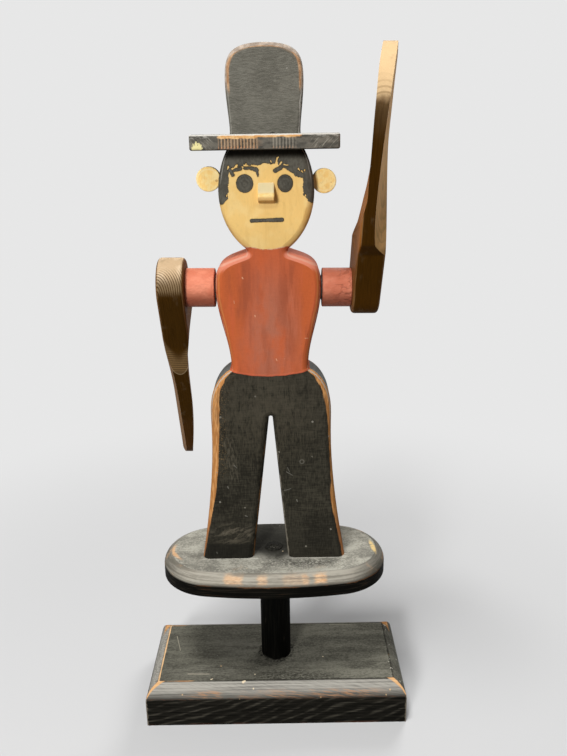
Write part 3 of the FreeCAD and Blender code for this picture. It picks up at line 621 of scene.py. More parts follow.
def hat_crown_finish():
    graph = Graph("crown_black_paint")
    x, y, z = graph.x, graph.y, graph.z
    wave = (graph.noise((13.0, 10.0, 17.0), detail=3.0, seed=4.0) - 0.5) * 7.0
    brushed = graph.noise((5.6, 4.0, 0.56), detail=4.0, roughness=0.65, seed=6.0,
                          place=(x, y, z + wave))
    cloud = graph.noise((22.0, 10.0, 22.0), detail=2.0, seed=8.0)
    speck = graph.noise((0.9, 0.8, 0.6), detail=2.0, seed=9.0)
    grey = rise(brushed * 0.62 + cloud * 0.22 + speck * 0.16, 0.38, 0.62)
    colour = mix((0.104, 0.0985, 0.08), (0.182, 0.173, 0.143), grey)
    ragged = graph.noise((3.0, 2.0, 7.0), detail=4.0, roughness=0.6, seed=2.0)
    uneven = graph.noise((6.0, 6.0, 6.0), detail=2.0, seed=15.0)

    # the rounded outline: pale outermost, partly worn and partly a painted highlight, widest
    # round the top, and ochre inside it
    inward = CROWN_HALF_THICKNESS - abs(y)
    depth = crown_depth(graph) + (uneven - 0.5) * 1.6
    round_zone = rise(inward, -0.02, 0.06)
    upper = rise(z + (ragged - 0.5) * 12.0, 524.0, 534.0)
    over_top = rise(z, 549.0, 557.0)
    wood = mix((0.36, 0.19, 0.092), (0.56, 0.35, 0.2), rise(ragged, 0.42, 0.6))
    pale = mix((0.33, 0.26, 0.205), (0.56, 0.45, 0.36), rise(uneven, 0.38, 0.6))
    pale_reach = over_top * 1.2 + 1.3
    pale_wear_and_highlight = rise(depth - pale_reach, 0.4, -0.2)
    wood_band = rise(depth, 3.9, 3.3) * pale_wear_and_highlight.inverted()
    colour = mix(colour, wood, wood_band * upper * round_zone * 0.92)
    colour = mix(colour, pale, pale_wear_and_highlight * upper * 0.85)
    thin_line = rise(abs(depth - 1.5 - (ragged - 0.5)), 0.7, 0.25) * upper.inverted()
    side_line = thin_line * rise(abs(x), 18.0, 22.0)
    colour = mix(colour, (0.56, 0.53, 0.47), side_line * (rise(x, -5.0, 5.0) * 0.4 + 0.2))
    flank = rise(inward, 3.0, 4.0)
    colour = mix(colour, (0.045, 0.042, 0.035), flank * upper.inverted() * 0.7)
    rough_edge = rise(depth, 1.0, 0.4) * rise(speck, 0.52, 0.6) * rise(x, 0.0, 10.0)
    colour = mix(colour, (0.7, 0.68, 0.62), rough_edge * 0.6)
    colour = mix(colour, (0.56, 0.53, 0.46), flecks(graph, 7.5, 0.38, 7.7) * 0.7)
    height = brushed * 0.7 + speck * 0.3
    return graph.finish(colour, 0.58, height, 0.0003, specular=0.18, ior=DUSTY_IOR)


# ---------------------------------------------------------------- the painted figure

# half the figure's width up its height, with sharp corners at the numbers in NOTCHES
OUTLINE = ((PLATFORM_TOP, 61.7), (187.0, 55.5), (219.0, 51.8), (269.0, 49.6), (294.5, 48.0),
           (307.2, 42.3), (317.0, 31.2), (350.5, 36.3), (387.0, 41.4), (400.2, 38.0),
           (408.9, 23.0), (412.0, 14.2), (430.6, 30.4), (454.5, 36.4), (472.5, 34.5),
           (486.7, 29.2))
NOTCHES = (6, 11)
HAIRLINE = ((-37.0, 448.0), (-33.6, 447.4), (-30.8, 450.0), (-29.0, 451.8), (-28.6, 456.0),
            (-28.2, 462.0), (-27.8, 468.0), (-27.0, 473.0), (-24.0, 474.4), (-20.0, 474.6),
            (-14.0, 475.0), (-9.0, 475.2), (-4.0, 476.2), (-0.4, 477.6), (2.4, 476.2),
            (6.6, 477.0), (8.8, 477.6), (10.0, 475.4), (12.5, 474.4), (15.8, 472.2),
            (20.0, 471.0), (21.4, 468.6), (24.6, 467.0), (27.0, 466.2), (27.8, 462.0),
            (28.2, 453.6), (30.8, 450.2), (34.0, 448.2), (37.0, 448.0))
HAIR_CHIPS = (((7.9, 477.0), (8.6, 480.4), 1.1), ((8.6, 480.6), (9.6, 481.4), 0.9),
              ((11.6, 477.6), (10.6, 476.0), 1.0), ((-22.4, 474.4), (-21.4, 476.0), 1.7),
              ((-24.0, 473.6), (-23.0, 474.0), 0.9), ((-15.8, 476.0), (-13.2, 475.8), 1.0),
              ((-14.7, 476.0), (-14.5, 477.0), 0.9), ((-27.9, 473.6), (-27.7, 475.4), 1.1),
              ((-10.6, 475.7), (-6.6, 475.5), 0.7), ((13.6, 475.9), (16.6, 475.6), 0.8),
              ((24.2, 472.8), (25.0, 471.6), 0.9), ((26.8, 471.2), (27.6, 470.4), 0.9),
              ((28.9, 471.9), (29.0, 471.2), 0.7), ((29.4, 453.6), (29.7, 453.0), 0.9),
              ((-29.8, 454.6), (-29.6, 453.6), 0.7), ((3.6, 478.6), (4.2, 477.6), 0.7))
BROW_MARKS = (((-26.6, 473.0), (-24.6, 469.4), 2.6, 3.4),
              ((-23.4, 472.4), (-19.0, 473.4), 2.4, 3.0),
              ((-15.8, 473.6), (-10.8, 473.8), 2.2, 2.6),
              ((-10.8, 473.6), (-6.9, 472.6), 2.8, 3.6), ((-6.5, 472.0), (-5.8, 468.4), 2.8, 1.6),
              ((6.9, 471.6), (11.0, 473.8), 3.4, 3.4), ((12.6, 474.4), (18.0, 473.4), 1.8, 2.8),
              ((18.0, 472.8), (24.6, 468.8), 3.4, 3.8))
TROUSER_SCRATCHES = (((-31.7, 234.9), (-29.6, 232.4), 0.6), ((-37.7, 215.3), (-37.2, 213.9), 0.9),
                     ((20.4, 202.3), (20.9, 200.6), 0.9), ((12.0, 228.2), (17.0, 225.0), 0.5),
                     ((8.6, 209.8), (9.6, 205.6), 0.5), ((9.6, 210.6), (15.6, 212.8), 0.5),
                     ((-49.4, 153.3), (-49.1, 152.0), 1.0), ((13.0, 232.0), (14.6, 228.0), 0.4),
                     ((-23.6, 188.0), (-22.0, 187.4), 0.8))
SHIRT_SPOTS = (((-19.9, 392.2), (-19.4, 391.4), 1.0), ((-10.9, 362.1), (-10.7, 361.2), 0.9),
               ((28.4, 343.2), (31.0, 343.0), 0.5), ((5.2, 326.6), (5.8, 325.0), 0.7),
               ((-27.0, 374.0), (-26.8, 372.0), 0.4))
# how wide the rubbed edge is on the figure's right and left, up the legs
WEAR_RIGHT = ((PLATFORM_TOP, 0.6), (170.0, 1.8), (190.0, 3.0), (207.0, 4.4), (232.0, 5.8),
              (262.0, 6.8), (285.0, 6.8), (300.0, 6.0), (311.0, 3.6), (318.0, 0.8))
WEAR_LEFT = ((PLATFORM_TOP, 2.2), (168.0, 2.2), (190.0, 3.6), (204.0, 4.0), (222.0, 2.2),
             (262.0, 2.6), (285.0, 3.6), (298.0, 5.0), (310.0, 3.8), (318.0, 0.6))


def trousers(graph, edge, roundover):
    x, y, z = graph.x, graph.y, graph.z
    fibre = graph.noise((1.3, 1.3, 26.0), detail=5.0, roughness=0.6, seed=1.0)
    grey = graph.noise((20.0, 20.0, 26.0), detail=4.0, roughness=0.55, distortion=0.3, seed=5.0)
    weave = graph.noise((0.9, 2.0, 5.0), detail=3.0, roughness=0.6, seed=9.0)
    across = graph.noise((8.0, 2.0, 0.8), detail=3.0, roughness=0.6, seed=13.0)
    tone = grey * 0.22 + weave * 0.34 + across * 0.3 + fibre * 0.14
    colour = mix((0.0165, 0.015, 0.0112), (0.05, 0.0452, 0.0325), rise(tone, 0.4, 0.62))
    warm = oval(x, z, (-4.0, 268.0), 34.0, 34.0, 0.8)
    colour = mix(colour, (0.052, 0.044, 0.029), warm * rise(weave, 0.4, 0.62) * 0.5)
    below = rise(z, 200.0, 160.0)
    colour = mix(colour, (0.017, 0.0158, 0.0125), below * 0.4)
    powder = graph.noise((0.9, 0.9, 1.2), detail=2.0, roughness=0.6, seed=57.0)
    powder = rise(powder, 0.56, 0.66) * rise(edge, 19.0, 6.0) * rise(x, 4.0, -8.0)
    powder = powder * between(z, 226.0, 306.0, 16.0)
    colour = mix(colour, (0.2, 0.13, 0.062), powder * 0.75)

    # the side of the board is darker, with painted light making its upward faces on the hips pale
    flank = rise(abs(y), 15.6, 14.0)
    colour = mix(colour, (0.012, 0.0112, 0.009), flank * 0.75)
    hips = flank * rise(z, 268.0, 300.0) * rise(graph.facing_z, -0.05, 0.45)
    colour = mix(colour, (0.17, 0.175, 0.162), hips * 0.75)

    # rounded edges rubbed to the wood, and on the hips a thin pale line outside that, a painted
    # highlight
    width = larger(profile(z, WEAR_RIGHT) * rise(x, 2.0, -2.0),
                   profile(z, WEAR_LEFT) * rise(x, -2.0, 2.0))
    fringe = graph.noise((1.8, 2.0, 7.0), detail=4.0, roughness=0.65, seed=19.0)
    rub = rise(edge - width - (fringe - 0.5) * 2.2, 0.5, -0.5) * roundover
    rim_line = rise(abs(abs(y) - 15.9 - (fringe - 0.5) * 1.2), 0.9, 0.3)
    rim_line = rim_line * rise(z, 262.0, 286.0) * rise(edge, 9.0, 5.0)
    down_slot = (LEG_SLOT_TOP - z) / LEG_SLOT_HEIGHT
    gap_edge = abs(x + down_slot * 2.4) - down_slot * 14.7
    gap_rub = rise(gap_edge - (fringe - 0.42) * 3.0, 1.4, 0.6) * roundover
    gap_rub = gap_rub * rise(z, 262.0, 236.0) * rise(abs(y), 12.8, 14.6)
    gap_rub = gap_rub * rise(graph.noise((30.0, 30.0, 26.0), seed=23.0), 0.36, 0.48)
    gap_colour = mix((0.46, 0.225, 0.085), (0.36, 0.32, 0.25), rise(x, -3.0, 1.0))
    wood = mix((0.43, 0.185, 0.056), (0.6, 0.3, 0.11),
               rise(graph.noise((1.3, 1.3, 12.0), detail=4.0, seed=25.0), 0.44, 0.6))
    wood = mix(wood, (0.3, 0.11, 0.05), rise(z, 200.0, 165.0) * 0.6)
    colour = mix(colour, wood, rub * 0.96)
    colour = mix(colour, (0.42, 0.4, 0.35), rim_line * 0.8)
    colour = mix(colour, gap_colour, gap_rub * 0.55)

    # scuffs, scratches and specks of dust
    front = rise(y, -16.0, -18.6)
    smear = graph.noise((11.0, 9.0, 3.4), detail=5.0, roughness=0.65, distortion=0.8, seed=27.0,
                        place=(x * 0.8 + z * 0.35, y, z * 0.8 - x * 0.35))
    low_scuff = oval(x, z, (-33.0, 171.0), 18.0, 8.0, 0.7) * rise(smear, 0.44, 0.62)
    wide_scuff = rise(smear, 0.62, 0.8) * 0.16
    pale_streak = stroke(x, z, (-36.0, 256.0), (-32.0, 224.0), 8.0, 6.0, 3.5)
    pale_streak = pale_streak * rise(weave, 0.46, 0.64)
    scratches = strokes(x, z, TROUSER_SCRATCHES)
    ring_mark = rise(abs(radius(x, z, (25.1, 237.2)) - 1.7), 0.7, 0.2)
    scuffs = larger(low_scuff * 0.8, wide_scuff, pale_streak * 0.5)
    colour = mix(colour, (0.12, 0.104, 0.076), front * scuffs)
    colour = mix(colour, (0.2, 0.19, 0.16), front * larger(scratches, ring_mark * 0.5) * 0.7)
    colour = mix(colour, (0.3, 0.28, 0.23), flecks(graph, 8.5, 0.38, 11.0) * 0.6)
    foot_band = rise(z, 161.6, 160.6) * rise(x, -14.0, -17.0) * front
    colour = mix(colour, (0.0085, 0.0082, 0.007), foot_band * 0.55)
    foot_crack = rise(abs(z - 161.0), 0.6, 0.2) * rise(x, -14.0, -17.0) * front
    height = fibre * 0.3 + weave * 0.2 + across * 0.35 - rub * 0.2 - foot_crack * 0.5
    return colour, 0.56 + rub * 0.08, height


def shirt(graph, edge, roundover, ragged):
    x, y, z = graph.x, graph.y, graph.z
    streak = graph.noise((6.0, 6.0, 40.0), detail=4.0, roughness=0.5, seed=41.0)
    cloud = graph.noise((17.0, 17.0, 30.0), detail=4.0, roughness=0.55, seed=43.0)
    weave = graph.noise((0.8, 0.8, 3.4), detail=3.0, roughness=0.6, seed=47.0)
    cross = graph.noise((5.0, 4.0, 0.9), detail=3.0, seed=49.0)
    colour = mix((0.49, 0.107, 0.04), (0.38, 0.083, 0.035),
                 rise(streak * 0.6 + cloud * 0.4, 0.47, 0.64) * 0.8)
    orange = rise(abs(x + (cloud - 0.5) * 24.0), 12.0, 30.0)
    colour = mix(colour, (0.49, 0.11, 0.033), orange * rise(streak, 0.38, 0.56) * 0.75)
    greyed = oval(x + (streak - 0.5) * 22.0, z + (cloud - 0.5) * 40.0,
                  (2.0, 350.0), 19.0, 42.0, 0.8)
    colour = mix(colour, (0.37, 0.146, 0.094), greyed * rise(cloud, 0.26, 0.58) * 0.74)
    band_x = x + (cloud - 0.5) * 12.0
    bands = larger(oval(band_x, z, (-19.0, 378.0), 8.0, 24.0, 0.9),
                   oval(band_x, z, (17.0, 370.0), 7.0, 30.0, 0.9))
    colour = mix(colour, (0.29, 0.072, 0.034), bands * rise(streak, 0.36, 0.6) * 0.75)
    dark_streak = rise(graph.noise((8.0, 8.0, 34.0), detail=3.0, seed=45.0), 0.5, 0.68)
    colour = mix(colour, (0.29, 0.074, 0.036), dark_streak * 0.42)
    colour = shaded(colour, weave * 0.16 + cross * 0.12 + 0.86)

    # an ochre line close to the edge, and a thin paler one outside it
    line = rise(abs(edge - 2.9 - (ragged - 0.5) * 1.4), 1.0, 0.3)
    line = line * rise(z, 322.0, 332.0) * rise(z, 402.0, 396.0)
    colour = mix(colour, (0.56, 0.215, 0.066), line * 0.55)
    rim_line = rise(abs(edge - 1.1), 0.6, 0.2) * rise(ragged, 0.42, 0.54) * roundover
    colour = mix(colour, (0.64, 0.4, 0.27), rim_line * 0.45)
    # painted light: the shoulders are paler on their upward faces, with a painted highlight line
    # along the rounding
    shoulder_top_light = rise(graph.facing_z, 0.12, 0.4) * rise(z, 385.0, 395.0)
    colour = mix(colour, (0.66, 0.225, 0.14), shoulder_top_light * 0.95)
    shoulder_highlight = rise(abs(graph.facing_z - 0.62), 0.14, 0.04) * rise(z, 392.0, 400.0)
    colour = mix(colour, (0.7, 0.4, 0.3), shoulder_highlight * roundover * 0.55)
    spots = strokes(x, z, SHIRT_SPOTS)
    front = rise(y, *FRONT_FACE)
    colour = mix(colour, (0.66, 0.36, 0.22), spots * front * 0.8)
    colour = mix(colour, (0.62, 0.34, 0.22), flecks(graph, 9.0, 0.34, 13.0) * 0.4)
    height = weave * 0.5 + cross * 0.3 + streak * 0.2
    return colour, 0.58 + streak * 0.08, height


def skin(graph, edge, roundover, ragged):
    x, y, z = graph.x, graph.y, graph.z
    cloud = graph.noise((15.0, 15.0, 15.0), detail=3.0, seed=61.0)
    weave = graph.noise((0.7, 0.9, 3.4), detail=3.0, roughness=0.6, seed=63.0)
    streak = graph.noise((3.0, 3.0, 22.0), detail=3.0, seed=67.0)
    colour = mix(TAN, TAN_PALE, rise(cloud, 0.42, 0.62) * 0.6)
    colour = mix(colour, (0.8, 0.49, 0.15), rise(streak, 0.52, 0.7) * 0.3)
    colour = shaded(colour, weave * 0.12 + 0.94)
    # painted light: lighter towards the top of the face and darker towards the chin
    colour = shaded(colour, rise(z, 410.0, 448.0) * 0.22 + 0.78)
    stain = oval(x + (ragged - 0.5) * 6.0 + (z - 438.0) * -0.25, z, (30.5, 438.5), 2.6, 9.5, 0.5)
    colour = mix(colour, TAN_DARK, stain * 0.5)
    low = rise(edge, 3.4, 0.8) * roundover * rise(z, 447.0, 432.0)
    colour = mix(colour, (0.52, 0.29, 0.11), low * rise(ragged, 0.4, 0.58) * 0.7)
    # painted shadows of the nose: one below it and one beside it on the right
    nose_shadow_below = oval(x, z, (0.4, 446.5), 7.6, 2.4, 0.6)
    colour = mix(colour, (0.6, 0.35, 0.11), nose_shadow_below * 0.5 * rise(y, *FRONT_FACE))
    nose_shadow_beside = oval(x, z, (7.6, 455.0), 1.6, 8.0, 0.6) * rise(y, *FRONT_FACE)
    colour = mix(colour, (0.62, 0.39, 0.13), nose_shadow_beside * 0.5)
    height = weave * 0.4 + cloud * 0.3
    return colour, 0.6 + cloud * 0.05, height


def hair_and_features(graph):
    """How far inside the head's black paint a point is: hair, brows, eyes and mouth."""
    x, y, z = graph.x, graph.y, graph.z
    front = rise(y, -14.0, -16.5)
    jag = graph.noise((2.1, 2.4, 2.3), detail=3.0, roughness=0.65, seed=71.0) - 0.5
    big_jag = graph.noise((4.2, 6.0, 4.4), detail=2.0, roughness=0.5, seed=73.0) - 0.5
    line = profile(x + jag * 3.6 + big_jag * 1.6, HAIRLINE)
    hair = z + jag * 3.4 + big_jag * 0.8 - line
    back_line = 437.0 + root(abs(x)) * 1.2
    side_line = 448.0 + rise(y, -12.0, 4.0) * -8.0
    from_side = z + jag * 3.0 - side_line
    from_back = z + jag * 3.0 - back_line
    hair = mix_value(mix_value(from_side, from_back, rise(y, 9.0, 15.0)), hair, front)
    chip_x = x + jag * 1.6
    chip_z = z + jag * 1.6
    for start, end, width in HAIR_CHIPS:
        chip = stroke_depth(chip_x, chip_z, start, end, width * 1.2, width * 0.8)
        hair = smaller(hair, mix_value(9.0, -chip, front))

    brow_x = x + jag * 1.8
    brow_z = z + jag * 1.8
    marks = [stroke_depth(brow_x, brow_z, *mark) for mark in BROW_MARKS]
    marks += [stroke_depth(x, z + jag * 0.9, (-11.4, 435.4), (-1.0, 435.6), 3.0, 2.7),
              stroke_depth(x, z + jag * 0.9, (-1.0, 435.6), (11.4, 435.8), 2.7, 3.4),
              oval_depth(x + jag * 0.9, z + jag * 0.7, (-15.95, 462.8), 6.5, 6.8),
              oval_depth(x + jag * 0.9, z + jag * 0.7, (14.3, 462.5), 5.9, 6.6)]
    return larger(hair, mix_value(-9.0, larger(*marks), front))


def figure_finish():
    graph = Graph("figure_paint")
    x, y, z = graph.x, graph.y, graph.z
    half = profile(z, OUTLINE, NOTCHES)
    edge = half - abs(x)
    roundover = rise(abs(y), 12.0, 12.8)
    ragged = graph.noise((4.0, 4.0, 7.0), detail=4.0, roughness=0.65, seed=2.0)
    waver = (graph.noise((7.0, 30.0, 7.0), detail=2.0, seed=81.0) - 0.5) * 1.2

    # the shirt's hem sags a little in front, and the neckline dips at its middle
    hem = 312.0 + x * x * 0.0042 + waver
    neckline = 413.9 + rise(abs(x), 3.0, 13.0) * 1.6 + waver * 0.6
    in_shirt = rise(z - hem, -0.2, 0.2)
    in_head = rise(z - neckline, -0.2, 0.2)
    black_depth = hair_and_features(graph)
    black = rise(black_depth, -0.16, 0.16) * in_head

    lower = trousers(graph, edge, roundover)
    middle = shirt(graph, edge, roundover, ragged)
    face = skin(graph, edge, roundover, ragged)

    # the head's black paint: smooth and thick, darker along its border, with a painted shadow
    # under the brim
    smooth = graph.noise((9.0, 9.0, 9.0), detail=3.0, seed=91.0)
    dab = graph.noise((1.4, 1.4, 2.2), detail=3.0, roughness=0.55, seed=92.0)
    hair_colour = mix((0.085, 0.079, 0.063), (0.128, 0.12, 0.097),
                      rise(smooth * 0.5 + dab * 0.5, 0.4, 0.62))
    border = rise(black_depth, 0.75, 0.15)
    hair_colour = mix(hair_colour, (0.03, 0.024, 0.016), border * 0.85)
    behind = rise(y, -6.0, 6.0)
    hair_colour = mix(hair_colour, (0.032, 0.03, 0.025), behind * 0.7)
    brim_shadow = rise(z, 478.5, 484.0)
    hair_colour = mix(hair_colour, (0.013, 0.011, 0.007), brim_shadow * 0.85)
    eye_side = abs(x + 0.8)
    swirl_place = radius(eye_side, z, (15.1, 462.4))
    swirl = graph.math("SINE", swirl_place * 2.4 + dab * 5.0) * 0.5 + 0.5
    in_eye = rise(swirl_place, 7.6, 6.2) * black
    hair_colour = mix(hair_colour, (0.04, 0.036, 0.028), in_eye * swirl * 0.35)
    # painted highlight: a pale line along the hair's rounded edge
    hair_rim_highlight = rise(abs(edge - 2.1 - (ragged - 0.5) * 1.2), 0.6, 0.2) * roundover
    hair_rim_highlight = hair_rim_highlight * rise(y, -10.0, -12.0) * rise(z, 460.0, 470.0)
    hair_colour = mix(hair_colour, (0.42, 0.4, 0.35), hair_rim_highlight * 0.6)

    colour = mix(lower[0], middle[0], in_shirt)
    hips = oval(x + (ragged - 0.5) * 16.0, z, (0.0, 290.0), 47.0, 30.0, 0.9)
    hips = hips * in_shirt.inverted() * rise(y, *FRONT_FACE)
    colour = mix(colour, (0.074, 0.063, 0.045), hips * rise(ragged, 0.34, 0.6) * 0.5)
    hem_line = rise(abs(z - hem - 0.6), 1.0, 0.3)
    colour = mix(colour, (0.47, 0.105, 0.052), hem_line * 0.6)
    colour = mix(colour, face[0], in_head)
    just_outside = rise(black_depth, -1.0, -0.2) * in_head * rise(y, -15.0, -17.0)
    colour = mix(colour, (0.62, 0.37, 0.11), just_outside * 0.25)
    colour = mix(colour, hair_colour, black)
    neck_line = rise(abs(z - neckline + 0.2), 0.7, 0.2)
    colour = mix(colour, (0.66, 0.48, 0.3), neck_line * rise(ragged, 0.4, 0.54) * 0.6)
    grimy = rise(graph.noise((3.0, 3.0, 3.0), detail=3.0, seed=95.0), 0.55, 0.75)
    colour = shaded(colour, 1.0 - grimy * 0.05)
    roughness = mix_value(lower[1], middle[1], in_shirt)
    roughness = mix_value(roughness, face[1], in_head) - black * 0.06
    height = mix_value(lower[2] * 0.45, middle[2] * 0.32, in_shirt)
    height = mix_value(height, face[2] * 0.28, in_head)
    height = height + black * (swirl * in_eye * 0.15 + dab * 0.14 + 0.38) + hem_line * 0.35
    return graph.finish(colour, roughness, height, 0.0004, specular=0.16, ior=DUSTY_IOR)


def tan_finish(name, grain, edges):
    """Tan paint on a small piece; edges gives its darkened places, which are dirt and, on the
    nose's underside, painted shade, and its rubbed places.
    """
    graph = Graph(name)
    cloud = graph.noise((5.0, 5.0, 5.0), detail=4.0, seed=3.0)
    weave = graph.noise(grain, detail=4.0, roughness=0.6, seed=4.0)
    dirt_and_shade, rubbed = edges(graph)
    colour = mix((0.96, 0.64, 0.215), (0.985, 0.745, 0.32), rise(cloud, 0.4, 0.6))
    colour = mix(colour, (0.8, 0.46, 0.14), rise(weave, 0.52, 0.68) * 0.35)
    # darkened places: dirt, and painted shade under the nose
    colour = mix(colour, (0.48, 0.24, 0.066), dirt_and_shade * rise(cloud, 0.26, 0.52) * 0.75)
    colour = mix(colour, (0.985, 0.85, 0.51), rubbed * 0.95)
    colour = mix(colour, (0.42, 0.17, 0.06), flecks(graph, 4.2, 0.4, 2.7) * 0.6)
    return graph.finish(colour, 0.58 + weave * 0.06, weave * 0.7 + cloud * 0.3, 0.0002,
                        specular=0.2)


def ear_edges(graph):
    """The disc's edge face is dirtier, with a few stains, and its front rim is rubbed pale."""
    dirt_and_shade = rise(abs(graph.facing_y), 0.6, 0.2)
    out = radius(abs(graph.x), graph.z, EAR_MIDDLE)
    rim = between(out, 8.0, 9.0, 0.5) * 0.45
    stains = rise(graph.noise((3.4, 3.4, 3.4), detail=3.0, seed=21.0), 0.58, 0.66)
    spot = oval(graph.x, graph.z, (-38.0, 464.6), 1.2, 0.9, 0.5)
    stains = larger(stains * 0.35 * rise(graph.z, 470.0, 462.0), spot)
    return larger(dirt_and_shade * 0.8, stains), rim


def nose_edges(graph):
    """The amber band across the tip, the undercut darkened as painted shade, and the pale bridge.
    """
    tip = rise(graph.z, 454.8, 451.6)
    under = rise(graph.facing_z, 0.05, -0.35)
    bridge = rise(graph.z, 455.0, 457.0)
    return larger(tip, under), bridge


def sleeve_finish(name, tone, cracked, seed):
    """Thick brick red paint, lumpy and, where cracked is 1, crackled towards its end; tone
    darkens the whole sleeve, which on the left one is painted shade.
    """
    graph = Graph(name)
    x, y, z = graph.x, graph.y, graph.z
    lumps = graph.noise((6.0, 3.4, 3.4), detail=3.0, roughness=0.55, seed=seed)
    crackle = graph.cells((3.4, 2.6, 2.6), seed=seed + 5.0,
                          place=(x + lumps * 6.0, y + lumps * 4.0, z))
    cloud = graph.noise((12.0, 9.0, 9.0), detail=3.0, seed=seed + 7.0)
    colour = mix((0.59, 0.165, 0.086), (0.68, 0.222, 0.126), rise(cloud, 0.38, 0.64))
    far_end = rise(abs(x), 50.0, 58.0) * cracked
    cracks = rise(crackle, 0.56, 0.72) * (far_end * 0.5 + 0.08)
    colour = mix(colour, (0.3, 0.08, 0.044), cracks * 0.55)
    ends = rise(abs(abs(x) - 54.3), 10.6, 11.4)
    colour = mix(colour, (0.28, 0.08, 0.045), ends * rise(cloud, 0.42, 0.6) * 0.6)
    # painted shade: darker on the downward faces
    low = rise(graph.facing_z, 0.15, -0.65)
    colour = mix(colour, (0.2, 0.05, 0.026), low * 0.7)
    colour = shaded(colour, tone)
    height = lumps * 0.75 - cracks * 0.5 + cloud * 0.15
    return graph.finish(colour, 0.5 + cloud * 0.1, height, 0.0012, specular=0.25)


# ---------------------------------------------------------------- stained paddles and small parts

